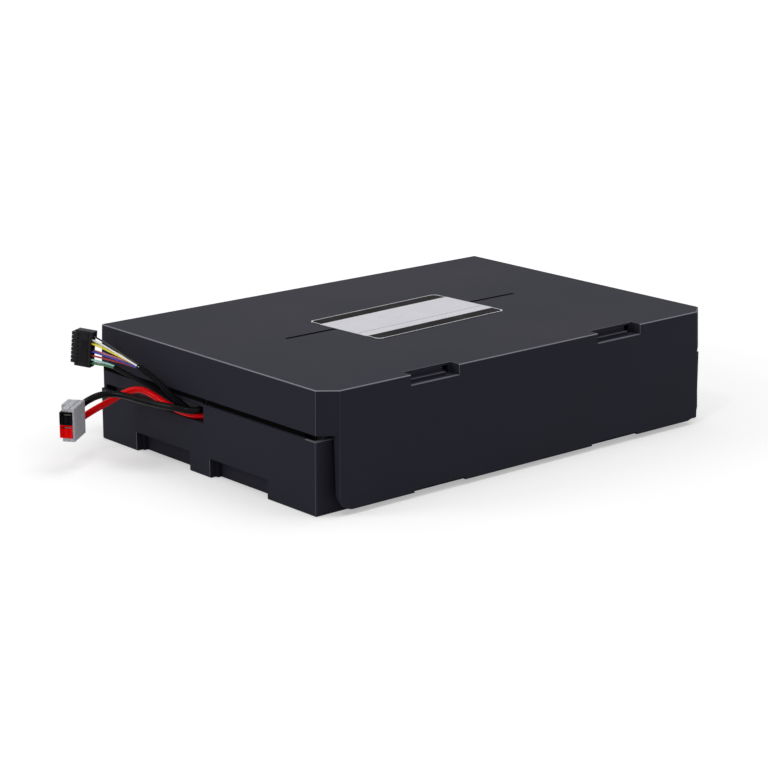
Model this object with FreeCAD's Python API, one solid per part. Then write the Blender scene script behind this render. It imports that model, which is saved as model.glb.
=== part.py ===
"""Replacement battery cartridge for a rack or tower UPS, in millimetres.

Four sealed 12 V blocks lie two by two in a moulded tray. A moulded cover closes
them in, with a full-height skirt on one long side. A black and a red power lead
end in a stacked two-pole power connector, and a loom of thin sense wires ends in
a 2 x 8 way signal connector.

Frame: +Z up, z = 0 under the tray, the cable face looks along -Y and the skirt
is on the +X side. The origin is under the middle of the housing.
"""
import FreeCAD
import Part
import math
import os

V = FreeCAD.Vector

# ---------------------------------------------------------------- driving sizes
# 12 V 9 Ah sealed block, and the room around the four of them
BLOCK_LENGTH = 151.0
BLOCK_THICK = 65.0
BLOCK_HEIGHT = 94.0
BLOCK_LID = 8.0
BLOCK_LID_INSET = 1.0
BLOCK_EDGE_R = 1.5
BLOCK_LID_EDGE = 1.0           # chamfer around the lid
BLOCK_GAP = 1.6                # between the two blocks of a row
BLOCK_LEFT_CLEAR = 1.2         # left blocks to the tray's wall
BLOCK_RIGHT_CLEAR = 0.5        # right blocks to the tray's wall
BLOCK_REAR_CLEAR = 0.9         # rear blocks to the tray's wall
FRONT_ROOM = 6.3               # front blocks to the cable face's wall
CHANNEL_WIDTH = 16.3           # between the lids of the two rows
ROOF_ROOM = 2.7                # blocks to the cover's roof

# housing
DRAFT = 0.0235                 # outward slope of the cover's walls, mm per mm
WALL = 2.8                     # moulded wall of the tray
COVER_WALL = 2.4               # moulded wall of the cover
TOP_WALL = 2.6                 # roof of the cover
FLOOR_WALL = 3.0               # floor of the tray
COVER_SETBACK_X = 1.55         # cover's top edge behind the tray's left face
COVER_SETBACK_Y = 1.1          # cover's top edge behind the tray's end faces
CORNER_CUT_X = 8.7             # corner chamfers beside the skirt, along X
CORNER_CUT_Y = 10.6            # the same, along Y
LIP_DROP = 26.0                # top face to the lower edge of the short walls
SKIRT_STAND_OFF = 9.0          # tray's right face to the skirt's outside
SKIRT_BOTTOM_Z = 3.2           # lower edge of the long skirt
SKIRT_SETBACK = 8.8            # ends of the skirt before the cover's ends
SKIRT_CORNER_R = 10.0          # rounded lower corners of the skirt
SHADOW_GAP = 3.5               # open line between cover and tray
LIP_THICK = 1.5                # outer lip of the tray's wall at the joint
LIP_CLEAR = 0.2                # play of the lap joint
LIP_OVERLAP = 6.0              # how far the cover's tongue reaches into the tray
TONGUE_ROOT = 6.0              # how far the tongue runs up the cover's wall
EDGE_R = 1.0                   # small radius on the moulded edges
CORNER_R = 2.2                 # radius of the tray's upright corners

# cable window between the tray's front wall and the cover's tongue
SILL_DROP = 11.5               # lowered front wall below the tray's rim
SILL_OFFSET = 0.95             # right end of the lowered wall past the channel's middle
WINDOW_WIDTH = 31.8
WINDOW_RISE = 9.3              # sill to the tongue over the cables
TONGUE_RISE = 3.3              # sill to the tongue left of the window
TONGUE_END = 1.8               # the tongue stops this far before the window's right side
TONGUE_GAP = 4.0               # break in the tongue beside the window

# stepped notches low on the cable face
NOTCH_WIDTH = 55.0
NOTCH_CENTRES = (-44.9, 29.9)   # from the middle of the footprint
NOTCH_HEIGHT = 12.0
NOTCH_OUTER_DEPTH = 4.3
NOTCH_DEPTH = 7.0
NOTCH_STEP = 2.0
NOTCH_WALL = 1.8

# hook pockets in the cover's long top edge
POCKET_CENTRE_Y = 75.7
POCKET_LENGTH = 37.0
POCKET_DEPTH = 7.5             # from the cover's top edge inwards
POCKET_DROP = 6.3              # below the top face
POCKET_WALL = 2.0
LEDGE_WIDTH = 3.3
LEDGE_RISE = 2.1
HOOK_HOLE_LENGTH = 4.8
HOOK_HOLE_HEIGHT = 5.0
HOOK_HOLE_INSET = 1.6          # hook hole to the pocket's hooked end
LEDGE_STOP = 6.6               # the ledge ends this far before the hooked end

# shallow notches in the skirt's lower edge
SKIRT_NOTCH_CENTRE_Y = 72.6
SKIRT_NOTCH_LENGTH = 40.0
SKIRT_NOTCH_HEIGHT = 1.7

# slot along the cover's middle
SLOT_OFFSET = 0.25             # left of the channel's middle
SLOT_WIDTH = 1.3
SLOT_HALF_LENGTH = 94.5

# label
LABEL_WIDTH = 64.0
LABEL_LENGTH = 110.5
LABEL_THICK = 0.2
LABEL_CORNER_R = 5.0
LABEL_X = -1.1                 # middle of the label, left of the footprint's middle
LABEL_TURN = 3.0               # degrees, put on by hand and a little askew

# quick-connect tabs, receptacles and vent strip of a block
TAB_END = 15.0                 # tab to the block's end
TAB_EDGE = 10.0                # tab to the block's upper long edge
TAB_WIDTH = 6.35
TAB_THICK = 0.8
TAB_HEIGHT = 6.0
TAB_HOLE_R = 0.85
TAB_HOLE_END = 2.6             # detent hole to the tab's tip
TAB_POINT = 1.2                # chamfer on the tab's tip
TAB_ROOT = 1.0                 # how far the tab is sunk in the lid
TAB_WELL_WALL = 2.0            # room around a receptacle in the lid
TAB_CLEAR = 0.3
RECEPTACLE_BODY = 8.4
RECEPTACLE_DEPTH = 6.0
RECEPTACLE_CLEAR = 0.3
RECEPTACLE_THICK = 4.4         # insulated body across the tab
RECEPTACLE_END = 1.2           # closed end beyond the tab's room
RECEPTACLE_PLAY = 0.1          # between the tab and the receptacle's room
RECEPTACLE_TIP_PLAY = 0.2      # between the tab's tip and the end of the room
BARREL_R = 2.6
BARREL_LENGTH = 6.0
VENT_LENGTH = 96.0
VENT_WIDTH = 34.0
VENT_RISE = 0.8
VENT_OFFSET = 8.0              # vent strip below the lid's middle

FOAM_WIDTH = 20.0
FOAM_CLEAR = 0.3
FOAM_LENGTH = 105.7

RIB_THICK = 1.8
RIB_HEIGHT = 7.0

# power connector, 45 A stacked pair with its clamp
POLE = 7.9                     # one housing is POLE x POLE
POLE_LENGTH = 24.6
POLE_MOUTH = 9.0
POLE_EDGE = 0.5                # chamfer along a pole
POLE_SIDE_WALL = 1.2           # walls beside the mouth
POLE_BASE_WALL = 1.5           # wall under the mouth
POLE_MOUTH_TOP = 0.6           # top of the mouth above the pole's middle
POLE_HOOD_CUT = 3.0            # how far the mouth's hood stands back
POLE_HOOD_WALL = 1.6           # walls beside the hood's cut, and its height above the middle
CONTACT_WIDTH = 5.0
CONTACT_THICK = 1.4
CONTACT_DROP = 0.9             # blade below the pole's middle
CONTACT_PLAY = 0.1             # between the blade and its room
CONTACT_ROOM_BACK = 5.0        # the room starts this far before the pole's rear end
CONTACT_ROOM_FRONT = 2.0       # and stops this far behind the mating face
CONTACT_END_PLAY = 0.2         # between the blade's ends and the room's ends
CLAMP_WALL = 2.2
CLAMP_SIDE = 1.3
CLAMP_LENGTH = 21.0
CLAMP_BACK = 0.4               # clamp's front end behind the mating face
CLAMP_CAP_START = 8.82         # cap's front end behind the mating face
CLAMP_SPLIT = 1.6              # parting line from the poles' side
CLAMP_PARTING = 0.2            # open line between body and cap
CLAMP_PLAY = 0.05              # between the clamp and the poles
CLAMP_EDGE_R = 1.0
POWER_NOSE_AT = (-55.4, 59.8, -2.0)   # from the window's corner: along, out and up
POWER_HEADING = -51.3          # degrees from +X, the way the mating face looks
LEAD_D = 4.2
BLACK_LEAD_REACH = 5.2         # last straight run of the black lead into its pole
RED_LEAD_REACH = 5.4           # the same for the red lead

# signal connector, 2 x 8 ways
SIGNAL_AT = (-98.6, 17.8, 30.4)       # from the window's corner: along, out and up
SIGNAL_HEADING = 30.0          # degrees from +X to the wire end
SIGNAL_PITCH = -5.0
SIGNAL_WAYS = 8
SIGNAL_PITCH_MM = 2.5
SIGNAL_HEIGHT = 22.6
SIGNAL_LENGTH = 14.4
SIGNAL_THICK = 6.0
SIGNAL_EDGE = 0.5              # chamfer along the housing
SIGNAL_GROOVE = 0.6            # depth of the grooves outside the ways
SIGNAL_GROOVE_WIDTH = 1.5
SIGNAL_GROOVE_FRONT = 1.2      # groove to the mating face
SIGNAL_GROOVE_REAR = 0.6       # groove to the wire end's side of the middle
SIGNAL_MOUTH_DEPTH = 5.0       # mouths of the ways
SIGNAL_MOUTH_WIDTH = 1.6
SIGNAL_MOUTH_HEIGHT = 1.4
WIRE_D = 1.1
UPPER_SLEEVE_D = 3.4
LOWER_SLEEVE_D = 2.8
UPPER_RING_R = 1.14            # six wires around a seventh in the upper sleeve's mouth
LOWER_RING_R = 0.68            # three wires in the lower sleeve's mouth
UPPER_RUN = 7.5                # straight run at both ends of the longer wires
LOWER_RUN = 5.5                # the same for the three short ones
UPPER_BULGE = 0.8              # the longer wires arch up a little
LINK_D = 3.2
TAP_D = 0.9
TAP_PLAY = 0.05                # between a tap wire and the link it lies beside
SHORT_LINK_DROP = 4.0          # straight fall of a link inside one row
CROSS_LINK_DROP = 14.0         # straight fall of the link between the rows

# boot that joins the two sleeves inside the channel
BOOT_AT = (-7.2, -3.8, -15.3)  # left, front, lower corner, from the window's corner
BOOT_WIDTH = 10.4
BOOT_LENGTH = 12.4
BOOT_HEIGHT = 13.0
BOOT_EDGE_R = 1.5
TAP_STEP = 2.5                 # from one tap wire to the next at the boot
TAP_RUN = 20.0                 # straight run of a tap wire at both ends

# a cord's bends take this share of the shorter run beside each corner
BEND_SHARE = 0.45

# modelling helps that leave no mark on the part
PAST = 1.0                     # how far a cutting block stands past what it cuts
SUNK = 1.0                     # how far an added block is sunk in what it is joined to
NEAR = 0.1                     # play when edges are picked by their place
LONG_EDGE = 10.0               # edges longer than this run along a moulding's side

# ---------------------------------------------------------------- worked out
TRAY_INNER_Y = (2 * BLOCK_LENGTH + BLOCK_GAP + BLOCK_REAR_CLEAR + FRONT_ROOM) / 2
TRAY_HALF_Y = TRAY_INNER_Y + WALL
TRAY_INNER_WIDTH = 2 * BLOCK_HEIGHT + CHANNEL_WIDTH + BLOCK_LEFT_CLEAR + BLOCK_RIGHT_CLEAR
TRAY_HALF_X = (TRAY_INNER_WIDTH + 2 * WALL + SKIRT_STAND_OFF) / 2
TRAY_RIGHT_X = TRAY_HALF_X - SKIRT_STAND_OFF
COVER_TOP_HALF_X = TRAY_HALF_X - COVER_SETBACK_X
COVER_TOP_HALF_Y = TRAY_HALF_Y - COVER_SETBACK_Y
HOUSING_HEIGHT = FLOOR_WALL + BLOCK_THICK + ROOF_ROOM + TOP_WALL
COVER_LIP_Z = HOUSING_HEIGHT - LIP_DROP
SKIRT_HALF_Y = COVER_TOP_HALF_Y - SKIRT_SETBACK
TRAY_TOP_Z = COVER_LIP_Z - SHADOW_GAP
TONGUE_SETBACK = LIP_THICK + LIP_CLEAR
TONGUE_BOTTOM_Z = TRAY_TOP_Z - LIP_OVERLAP
TRAY_INNER_LEFT = -TRAY_HALF_X + WALL
TRAY_INNER_RIGHT = TRAY_RIGHT_X - WALL
BLOCK_BASE_Z = FLOOR_WALL
BLOCK_TOP_Z = BLOCK_BASE_Z + BLOCK_THICK
BLOCK_REAR_Y = TRAY_INNER_Y - BLOCK_REAR_CLEAR
LEFT_LID_X = TRAY_INNER_LEFT + BLOCK_LEFT_CLEAR + BLOCK_HEIGHT
RIGHT_LID_X = LEFT_LID_X + CHANNEL_WIDTH
CHANNEL_X = (LEFT_LID_X + RIGHT_LID_X) / 2
SLOT_X = CHANNEL_X - SLOT_OFFSET
REAR_BLOCK_Y = BLOCK_REAR_Y - BLOCK_LENGTH / 2
FRONT_BLOCK_Y = REAR_BLOCK_Y - BLOCK_LENGTH - BLOCK_GAP
TAB_Z = BLOCK_TOP_Z - TAB_EDGE
ROOF_Z = HOUSING_HEIGHT - TOP_WALL
SILL_Z = TRAY_TOP_Z - SILL_DROP
SILL_RIGHT_X = CHANNEL_X + SILL_OFFSET
WINDOW_LEFT_X = SILL_RIGHT_X - WINDOW_WIDTH
WINDOW_TOP_Z = SILL_Z + WINDOW_RISE
TONGUE_LEFT_Z = SILL_Z + TONGUE_RISE
POCKET_BACK_X = COVER_TOP_HALF_X - POCKET_DEPTH
POCKET_FLOOR_Z = HOUSING_HEIGHT - POCKET_DROP


def from_window(along, out, up):
    """Point measured from the cable window's lower right corner, out being away from the housing."""
    return V(SILL_RIGHT_X + along, -TRAY_HALF_Y - out, SILL_Z + up)


def box(x0, x1, y0, y1, z0, z1):
    """Box between two opposite corners."""
    return Part.makeBox(x1 - x0, y1 - y0, z1 - z0, V(x0, y0, z0))


def joined(shapes):
    """One solid out of several that overlap or share faces."""
    whole = shapes[0]
    for shape in shapes[1:]:
        whole = whole.fuse(shape)
    return whole.removeSplitter()


def rounded_sheet(width, length, thick, radius):
    """Flat sheet with rounded corners, centred on the origin, lying on z = 0."""
    sheet = Part.makeBox(width, length, thick, V(-width / 2, -length / 2, 0))
    upright = [e for e in sheet.Edges if abs(e.tangentAt(e.FirstParameter).z) > 0.9]
    return sheet.makeFillet(radius, upright)


def write(name, shape):
    """Write one named part."""
    shape.exportStep("parts/" + name + ".step")


# ---------------------------------------------------------------- cover
def inset_leg(leg, other, inset):
    """Leg of a chamfer after the outline around it has moved in by an inset."""
    return leg + inset * (math.hypot(1, leg / other) - leg / other - 1)


def cover_outline(z, inset):
    """Outline of the cover's walls at a height, moved in by an inset."""
    grow = DRAFT * (HOUSING_HEIGHT - z) - inset
    half_x = COVER_TOP_HALF_X + grow
    half_y = COVER_TOP_HALF_Y + grow
    cut_x = inset_leg(CORNER_CUT_X, CORNER_CUT_Y, inset)
    cut_y = inset_leg(CORNER_CUT_Y, CORNER_CUT_X, inset)
    points = [V(-half_x, -half_y, z), V(half_x - cut_x, -half_y, z), V(half_x, -half_y + cut_y, z),
              V(half_x, half_y - cut_y, z), V(half_x - cut_x, half_y, z), V(-half_x, half_y, z)]
    return Part.makePolygon(points + [points[0]])


def cover_body(z0, z1, inset):
    """Tapered block bounded by the cover's walls between two heights."""
    return Part.makeLoft([cover_outline(z0, inset), cover_outline(z1, inset)], True, True)


def skirt_profile():
    """Block that keeps the skirt's outline: rounded lower corners and two notches."""
    x0 = TRAY_RIGHT_X
    x1 = COVER_TOP_HALF_X + LONG_EDGE
    block = box(x0, x1, -SKIRT_HALF_Y, SKIRT_HALF_Y, SKIRT_BOTTOM_Z, HOUSING_HEIGHT)
    low = [e for e in block.Edges if e.BoundBox.ZMax < SKIRT_BOTTOM_Z + NEAR and e.BoundBox.YLength < NEAR]
    block = block.makeFillet(SKIRT_CORNER_R, low)
    for side in (-1, 1):
        y = side * SKIRT_NOTCH_CENTRE_Y
        half = SKIRT_NOTCH_LENGTH / 2
        block = block.cut(box(x0 - PAST, x1 + PAST, y - half, y + half,
                              SKIRT_BOTTOM_Z - PAST, SKIRT_BOTTOM_Z + SKIRT_NOTCH_HEIGHT))
    return block


def pocket_cut(y):
    """Room of one hook pocket, open to the top and to the long side."""
    half = POCKET_LENGTH / 2
    return box(POCKET_BACK_X, 2 * COVER_TOP_HALF_X, y - half, y + half,
               POCKET_FLOOR_Z, HOUSING_HEIGHT + PAST)


def pocket_walls(y):
    """Walls, floor and ledge of one hook pocket, before the room is cut."""
    half = POCKET_LENGTH / 2 + POCKET_WALL
    walls = box(POCKET_BACK_X - POCKET_WALL, COVER_TOP_HALF_X - SUNK, y - half, y + half,
                POCKET_FLOOR_Z - POCKET_WALL, ROOF_Z + SUNK)
    return walls.common(cover_body(SKIRT_BOTTOM_Z, HOUSING_HEIGHT, COVER_WALL / 2))


def pocket_ledge(y):
    """Raised ledge along the pocket's back wall, open at the hooked end."""
    half = POCKET_LENGTH / 2
    return box(POCKET_BACK_X - SUNK, POCKET_BACK_X + LEDGE_WIDTH, y - half - SUNK, y + half - LEDGE_STOP,
               POCKET_FLOOR_Z - SUNK, POCKET_FLOOR_Z + LEDGE_RISE)


def hook_hole(y):
    """Hole through the pocket's back wall at the hooked end."""
    end = y + POCKET_LENGTH / 2 - HOOK_HOLE_INSET
    return box(POCKET_BACK_X - POCKET_WALL - PAST, POCKET_BACK_X + PAST, end - HOOK_HOLE_LENGTH, end,
               POCKET_FLOOR_Z, POCKET_FLOOR_Z + HOOK_HOLE_HEIGHT)


def cover_tongue():
    """Tongue of the lap joint: the inner part of the cover's short walls, reaching down."""
    y_front = -TRAY_HALF_Y + TONGUE_SETBACK
    x_left = -TRAY_HALF_X + TONGUE_SETBACK
    thick = WALL - TONGUE_SETBACK
    x_right = TRAY_INNER_RIGHT - CORNER_CUT_X
    top = COVER_LIP_Z + TONGUE_ROOT
    left = box(x_left, x_left + thick, y_front, -y_front, TONGUE_BOTTOM_Z, top)
    rear = box(x_left, x_right, -y_front - thick, -y_front, TONGUE_BOTTOM_Z, top)
    front_left = box(x_left, WINDOW_LEFT_X, y_front, y_front + thick, TONGUE_LEFT_Z, top)
    front_mid = box(WINDOW_LEFT_X, SILL_RIGHT_X - TONGUE_END, y_front, y_front + thick, WINDOW_TOP_Z, top)
    front_right = box(SILL_RIGHT_X - TONGUE_END + TONGUE_GAP, x_right, y_front, y_front + thick,
                      TONGUE_BOTTOM_Z, top)
    ring = joined([left, rear, front_left, front_mid])
    return ring.fuse(front_right)


def make_cover():
    """The moulded cover with its skirt, chamfered corners, pockets and slot."""
    outer = cover_body(SKIRT_BOTTOM_Z, HOUSING_HEIGHT, 0)
    rims = [e for e in outer.Edges if e.BoundBox.ZMin > SKIRT_BOTTOM_Z + NEAR
            or e.BoundBox.ZLength > LONG_EDGE]
    outer = outer.makeFillet(EDGE_R, rims)
    inner = cover_body(SKIRT_BOTTOM_Z - PAST, ROOF_Z, COVER_WALL)
    upper = box(-2 * TRAY_HALF_X, 2 * TRAY_HALF_X, -2 * TRAY_HALF_Y, 2 * TRAY_HALF_Y,
                COVER_LIP_Z, HOUSING_HEIGHT + PAST)
    keep = upper.fuse(skirt_profile())
    shell = outer.common(keep).cut(inner)
    parts = [shell]
    for side in (-1, 1):
        parts.append(pocket_walls(side * POCKET_CENTRE_Y))
    shell = joined(parts)
    for side in (-1, 1):
        y = side * POCKET_CENTRE_Y
        shell = shell.cut(pocket_cut(y).cut(pocket_ledge(y)))
        shell = shell.cut(hook_hole(y))
    tongue = cover_tongue()
    shell = joined([shell, tongue])
    slot = box(SLOT_X - SLOT_WIDTH / 2, SLOT_X + SLOT_WIDTH / 2, -SLOT_HALF_LENGTH, SLOT_HALF_LENGTH,
               ROOF_Z - PAST, HOUSING_HEIGHT + PAST)
    return shell.cut(slot)


# ---------------------------------------------------------------- tray
def notch_room(x, depth, inset):
    """Room of one notch at the foot of the cable face."""
    half = NOTCH_WIDTH / 2 - inset
    return box(x - half, x + half, -TRAY_HALF_Y - PAST, -TRAY_HALF_Y + depth,
               -PAST, NOTCH_HEIGHT - inset / 2)


def notch_walls(x):
    """Walls that close one notch against the inside of the tray."""
    half = NOTCH_WIDTH / 2 + NOTCH_WALL
    return box(x - half, x + half, -TRAY_HALF_Y + SUNK, -TRAY_HALF_Y + NOTCH_DEPTH + NOTCH_WALL,
               0, NOTCH_HEIGHT + NOTCH_WALL)


def make_tray():
    """The moulded tray: floor, four walls, lap joint, cable sill, notches and ribs."""
    outer = box(-TRAY_HALF_X, TRAY_RIGHT_X, -TRAY_HALF_Y, TRAY_HALF_Y, 0, TRAY_TOP_Z)
    left = [e for e in outer.Edges if e.BoundBox.ZLength > LONG_EDGE and e.BoundBox.XMax < 0]
    outer = outer.makeFillet(CORNER_R, left)
    right = [e for e in outer.Edges if e.BoundBox.ZLength > LONG_EDGE and e.BoundBox.XMin > 0]
    outer = outer.makeFillet(EDGE_R, right)
    foot = [e for e in outer.Edges if e.BoundBox.ZMax < NEAR]
    outer = outer.makeFillet(EDGE_R, foot)
    tray = outer.cut(box(TRAY_INNER_LEFT, TRAY_INNER_RIGHT, -TRAY_INNER_Y, TRAY_INNER_Y,
                         FLOOR_WALL, TRAY_TOP_Z + PAST))
    lap = box(-TRAY_HALF_X + LIP_THICK, TRAY_INNER_RIGHT, -TRAY_HALF_Y + LIP_THICK,
              TRAY_HALF_Y - LIP_THICK, TONGUE_BOTTOM_Z - LIP_CLEAR, TRAY_TOP_Z + PAST)
    tray = tray.cut(lap)
    sill = box(-TRAY_HALF_X - PAST, SILL_RIGHT_X, -TRAY_HALF_Y - PAST, -TRAY_INNER_Y,
               SILL_Z, TRAY_TOP_Z + PAST)
    tray = tray.cut(sill)
    for x in NOTCH_CENTRES:
        tray = joined([tray, notch_walls(x)])
        tray = tray.cut(notch_room(x, NOTCH_OUTER_DEPTH, 0))
        tray = tray.cut(notch_room(x, NOTCH_DEPTH, NOTCH_STEP))
    rib_y = FRONT_BLOCK_Y - BLOCK_LENGTH / 2
    ribs = []
    for x in (LEFT_LID_X + TAB_CLEAR, RIGHT_LID_X - TAB_CLEAR - RIB_THICK):
        ribs.append(box(x, x + RIB_THICK, rib_y, BLOCK_REAR_Y, FLOOR_WALL - SUNK, FLOOR_WALL + RIB_HEIGHT))
    return joined([tray] + ribs)


# ---------------------------------------------------------------- blocks
def block_shape():
    """One sealed block in its own frame: lid along +X, length along Y, base at z = 0."""
    y0 = -BLOCK_LENGTH / 2
    case = box(-BLOCK_HEIGHT, -BLOCK_LID, y0, -y0, 0, BLOCK_THICK)
    case = case.makeFillet(BLOCK_EDGE_R, [e for e in case.Edges if e.BoundBox.XLength > LONG_EDGE])
    inset = BLOCK_LID_INSET
    lid = box(-BLOCK_LID, 0, y0 + inset, -y0 - inset, inset, BLOCK_THICK - inset)
    lid = lid.makeChamfer(BLOCK_LID_EDGE, [e for e in lid.Edges if e.BoundBox.XMin > -NEAR])
    well = RECEPTACLE_BODY / 2 + TAB_WELL_WALL
    block = joined([case, lid])
    vent_z = (BLOCK_THICK - VENT_WIDTH) / 2 - VENT_OFFSET
    vent = box(-SUNK, VENT_RISE, -VENT_LENGTH / 2, VENT_LENGTH / 2, vent_z, vent_z + VENT_WIDTH)
    block = joined([block, vent])
    for side in (-1, 1):
        y = side * (BLOCK_LENGTH / 2 - TAB_END)
        z = BLOCK_THICK - TAB_EDGE
        block = block.cut(box(-TAB_ROOT, TAB_ROOT, y - well, y + well, z - well, z + well))
    return block


def tab_shape(side):
    """One quick-connect tab of a block, with its hole, in the block's frame."""
    y = side * (BLOCK_LENGTH / 2 - TAB_END)
    z = BLOCK_THICK - TAB_EDGE
    tab = box(-TAB_ROOT, TAB_HEIGHT, y - TAB_THICK / 2, y + TAB_THICK / 2,
              z - TAB_WIDTH / 2, z + TAB_WIDTH / 2)
    tip = [e for e in tab.Edges if e.BoundBox.XMin > TAB_HEIGHT - NEAR
           and e.BoundBox.YLength > TAB_THICK / 2]
    tab = tab.makeChamfer(TAB_POINT, tip)
    hole = Part.makeCylinder(TAB_HOLE_R, 5 * TAB_THICK, V(TAB_HEIGHT - TAB_HOLE_END, y - 2.5 * TAB_THICK, z),
                             V(0, 1, 0))
    return tab.cut(hole)


def placed(shape, row, rear):
    """Put a block's shape in its bay: row -1 is left of the channel, 1 is right."""
    out = shape.copy()
    if row > 0:
        out.rotate(V(0, 0, 0), V(0, 0, 1), 180)
    lid_x = LEFT_LID_X if row < 0 else RIGHT_LID_X
    y = REAR_BLOCK_Y if rear else FRONT_BLOCK_Y
    out.translate(V(lid_x, y, BLOCK_BASE_Z))
    return out


def tab_place(row, rear, end):
    """Foot of a tab: end -1 is nearer the cable face, 1 is nearer the rear."""
    lid_x = LEFT_LID_X if row < 0 else RIGHT_LID_X
    y = (REAR_BLOCK_Y if rear else FRONT_BLOCK_Y) + end * (BLOCK_LENGTH / 2 - TAB_END)
    return V(lid_x, y, TAB_Z)


def receptacle(row, rear, end):
    """Insulated flag receptacle pushed on a tab, its wire barrel pointing down."""
    foot = tab_place(row, rear, end)
    toward = 1 if row < 0 else -1
    half = RECEPTACLE_BODY / 2
    x0 = foot.x + toward * RECEPTACLE_CLEAR
    x1 = foot.x + toward * (RECEPTACLE_CLEAR + RECEPTACLE_DEPTH + RECEPTACLE_END)
    thick = RECEPTACLE_THICK / 2
    body = box(min(x0, x1), max(x0, x1), foot.y - thick, foot.y + thick, foot.z - half, foot.z + half)
    top = V(barrel_x(row), foot.y, foot.z - half + SUNK)
    barrel = Part.makeCylinder(BARREL_R, BARREL_LENGTH + SUNK, top, V(0, 0, -1))
    body = joined([body, barrel])
    slot_y = TAB_THICK / 2 + RECEPTACLE_PLAY
    slot_z = TAB_WIDTH / 2 + RECEPTACLE_PLAY
    reach = foot.x + toward * (TAB_HEIGHT + RECEPTACLE_TIP_PLAY)
    return body.cut(box(min(foot.x, reach), max(foot.x, reach), foot.y - slot_y, foot.y + slot_y,
                        foot.z - slot_z, foot.z + slot_z))


def barrel_x(row):
    """Middle of a receptacle's wire barrel."""
    lid_x = LEFT_LID_X if row < 0 else RIGHT_LID_X
    return lid_x - row * (RECEPTACLE_CLEAR + RECEPTACLE_DEPTH / 2 + RECEPTACLE_END)


def barrel_end(row, rear, end):
    """Point where the wire leaves a receptacle."""
    foot = tab_place(row, rear, end)
    return V(barrel_x(row), foot.y, foot.z - RECEPTACLE_BODY / 2 - BARREL_LENGTH)


def loop_wire(start, finish, drop):
    """Link wire that hangs from two barrels in one U."""
    down = V(0, 0, -drop)
    a = start + down
    b = finish + down
    middle = (a + b) * 0.5 + V(0, 0, -(b - a).Length / 2)
    path = Part.Wire([Part.LineSegment(start, a).toShape(), Part.Arc(a, middle, b).toShape(),
                      Part.LineSegment(b, finish).toShape()])
    ring = Part.Wire(Part.makeCircle(LINK_D / 2, start, V(0, 0, -1)))
    return path.makePipeShell([ring], True, False)


# ---------------------------------------------------------------- cords
def cord_path(points):
    """Straight runs joined by tangent arcs; also returns the radii and the length."""
    edges = []
    radii = []
    last = points[0]
    for before, corner, after in zip(points, points[1:], points[2:]):
        a = (before - corner).normalize()
        b = (after - corner).normalize()
        turn = math.pi - a.getAngle(b)
        short = min((before - corner).Length, (after - corner).Length)
        back = BEND_SHARE * short
        radii.append(back / math.tan(turn / 2))
        p = corner + a * back
        q = corner + b * back
        middle_dir = (a + b).normalize()
        centre = corner + middle_dir * (back / math.cos(a.getAngle(b) / 2))
        middle = centre - middle_dir * radii[-1]
        edges.append(Part.LineSegment(last, p).toShape())
        edges.append(Part.Arc(p, middle, q).toShape())
        last = q
    edges.append(Part.LineSegment(last, points[-1]).toShape())
    wire = Part.Wire(edges)
    return wire, radii, wire.Length


def hung(barrel, first, back, fall):
    """First three points of a lead: out of a barrel, straight down, then curving to the front."""
    below = barrel - V(0, 0, first)
    return [barrel, below, below - V(0, back, fall)]


def make_cord(name, route, diameter):
    """Plain round tube along a route, with its radii and volume printed."""
    path, radii, length = cord_path(route)
    ring = Part.Wire(Part.makeCircle(diameter / 2, route[0], route[1] - route[0]))
    tube = path.makePipeShell([ring], True, False)
    section = math.pi * diameter ** 2 / 4
    print("%-24s length %6.1f  least radius %5.1f (%.1f d)  volume ratio %.4f  valid %s" % (
        name, length, min(radii), min(radii) / diameter, tube.Volume / (section * length), tube.isValid()))
    return tube


def heading(degrees):
    """Level unit vector at an angle from +X."""
    angle = math.radians(degrees)
    return V(math.cos(angle), math.sin(angle), 0)


POWER_OUT = heading(POWER_HEADING)
POWER_NOSE = from_window(*POWER_NOSE_AT)
POWER_REAR = POWER_NOSE - POWER_OUT * POLE_LENGTH
SIGNAL_CENTRE = from_window(*SIGNAL_AT)
BOOT_CORNER = from_window(*BOOT_AT)


def lead_end(level, back):
    """Point on a lead's last straight run: level 1 is the upper pole, -1 the lower."""
    return POWER_REAR - POWER_OUT * back + V(0, 0, level * POLE / 2)


BLACK_TAB = barrel_end(-1, False, -1)
RED_TAB = barrel_end(1, False, -1)
BLACK_ROUTE = hung(BLACK_TAB, 3.2, 2.8, 3.4) + [from_window(*p) for p in (
    (-4.8, -14.8, 7.1), (-5.4, -6.4, 7.0), (-7.8, 1.6, 5.9), (-15.6, 8.0, 7.5), (-28.8, 11.8, 7.6),
    (-44.3, 13.8, 7.4), (-58.3, 15.0, 7.6), (-67.8, 17.8, 7.5), (-73.8, 23.6, 6.5), (-76.2, 30.8, 3.5))]
BLACK_ROUTE += [lead_end(1, BLACK_LEAD_REACH), lead_end(1, 0)]
RED_ROUTE = hung(RED_TAB, 3.6, 2.8, 4.6) + [from_window(*p) for p in (
    (1.3, -15.4, 3.5), (-2.4, -9.2, 2.3), (-8.0, -4.0, 2.3), (-15.4, 0.4, 3.0), (-24.3, 3.0, 4.6),
    (-34.3, 4.4, 6.8), (-45.3, 5.4, 10.2), (-56.8, 6.4, 10.9), (-66.8, 9.4, 6.9), (-74.8, 15.6, 0.7),
    (-78.4, 23.8, -3.6), (-78.2, 30.8, -5.9))]
RED_ROUTE += [lead_end(-1, RED_LEAD_REACH), lead_end(-1, 0)]
UPPER_SLEEVE = [from_window(*p) for p in (
    (-52.9, 8.8, 25.8), (-46.4, 7.6, 23.7), (-39.1, 6.0, 20.0), (-30.8, 4.8, 15.8), (-25.0, 2.6, 10.7),
    (-18.0, -3.6, 4.1), (-12.8, -5.8, -1.5), (-5.8, -7.0, -5.9))]
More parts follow.
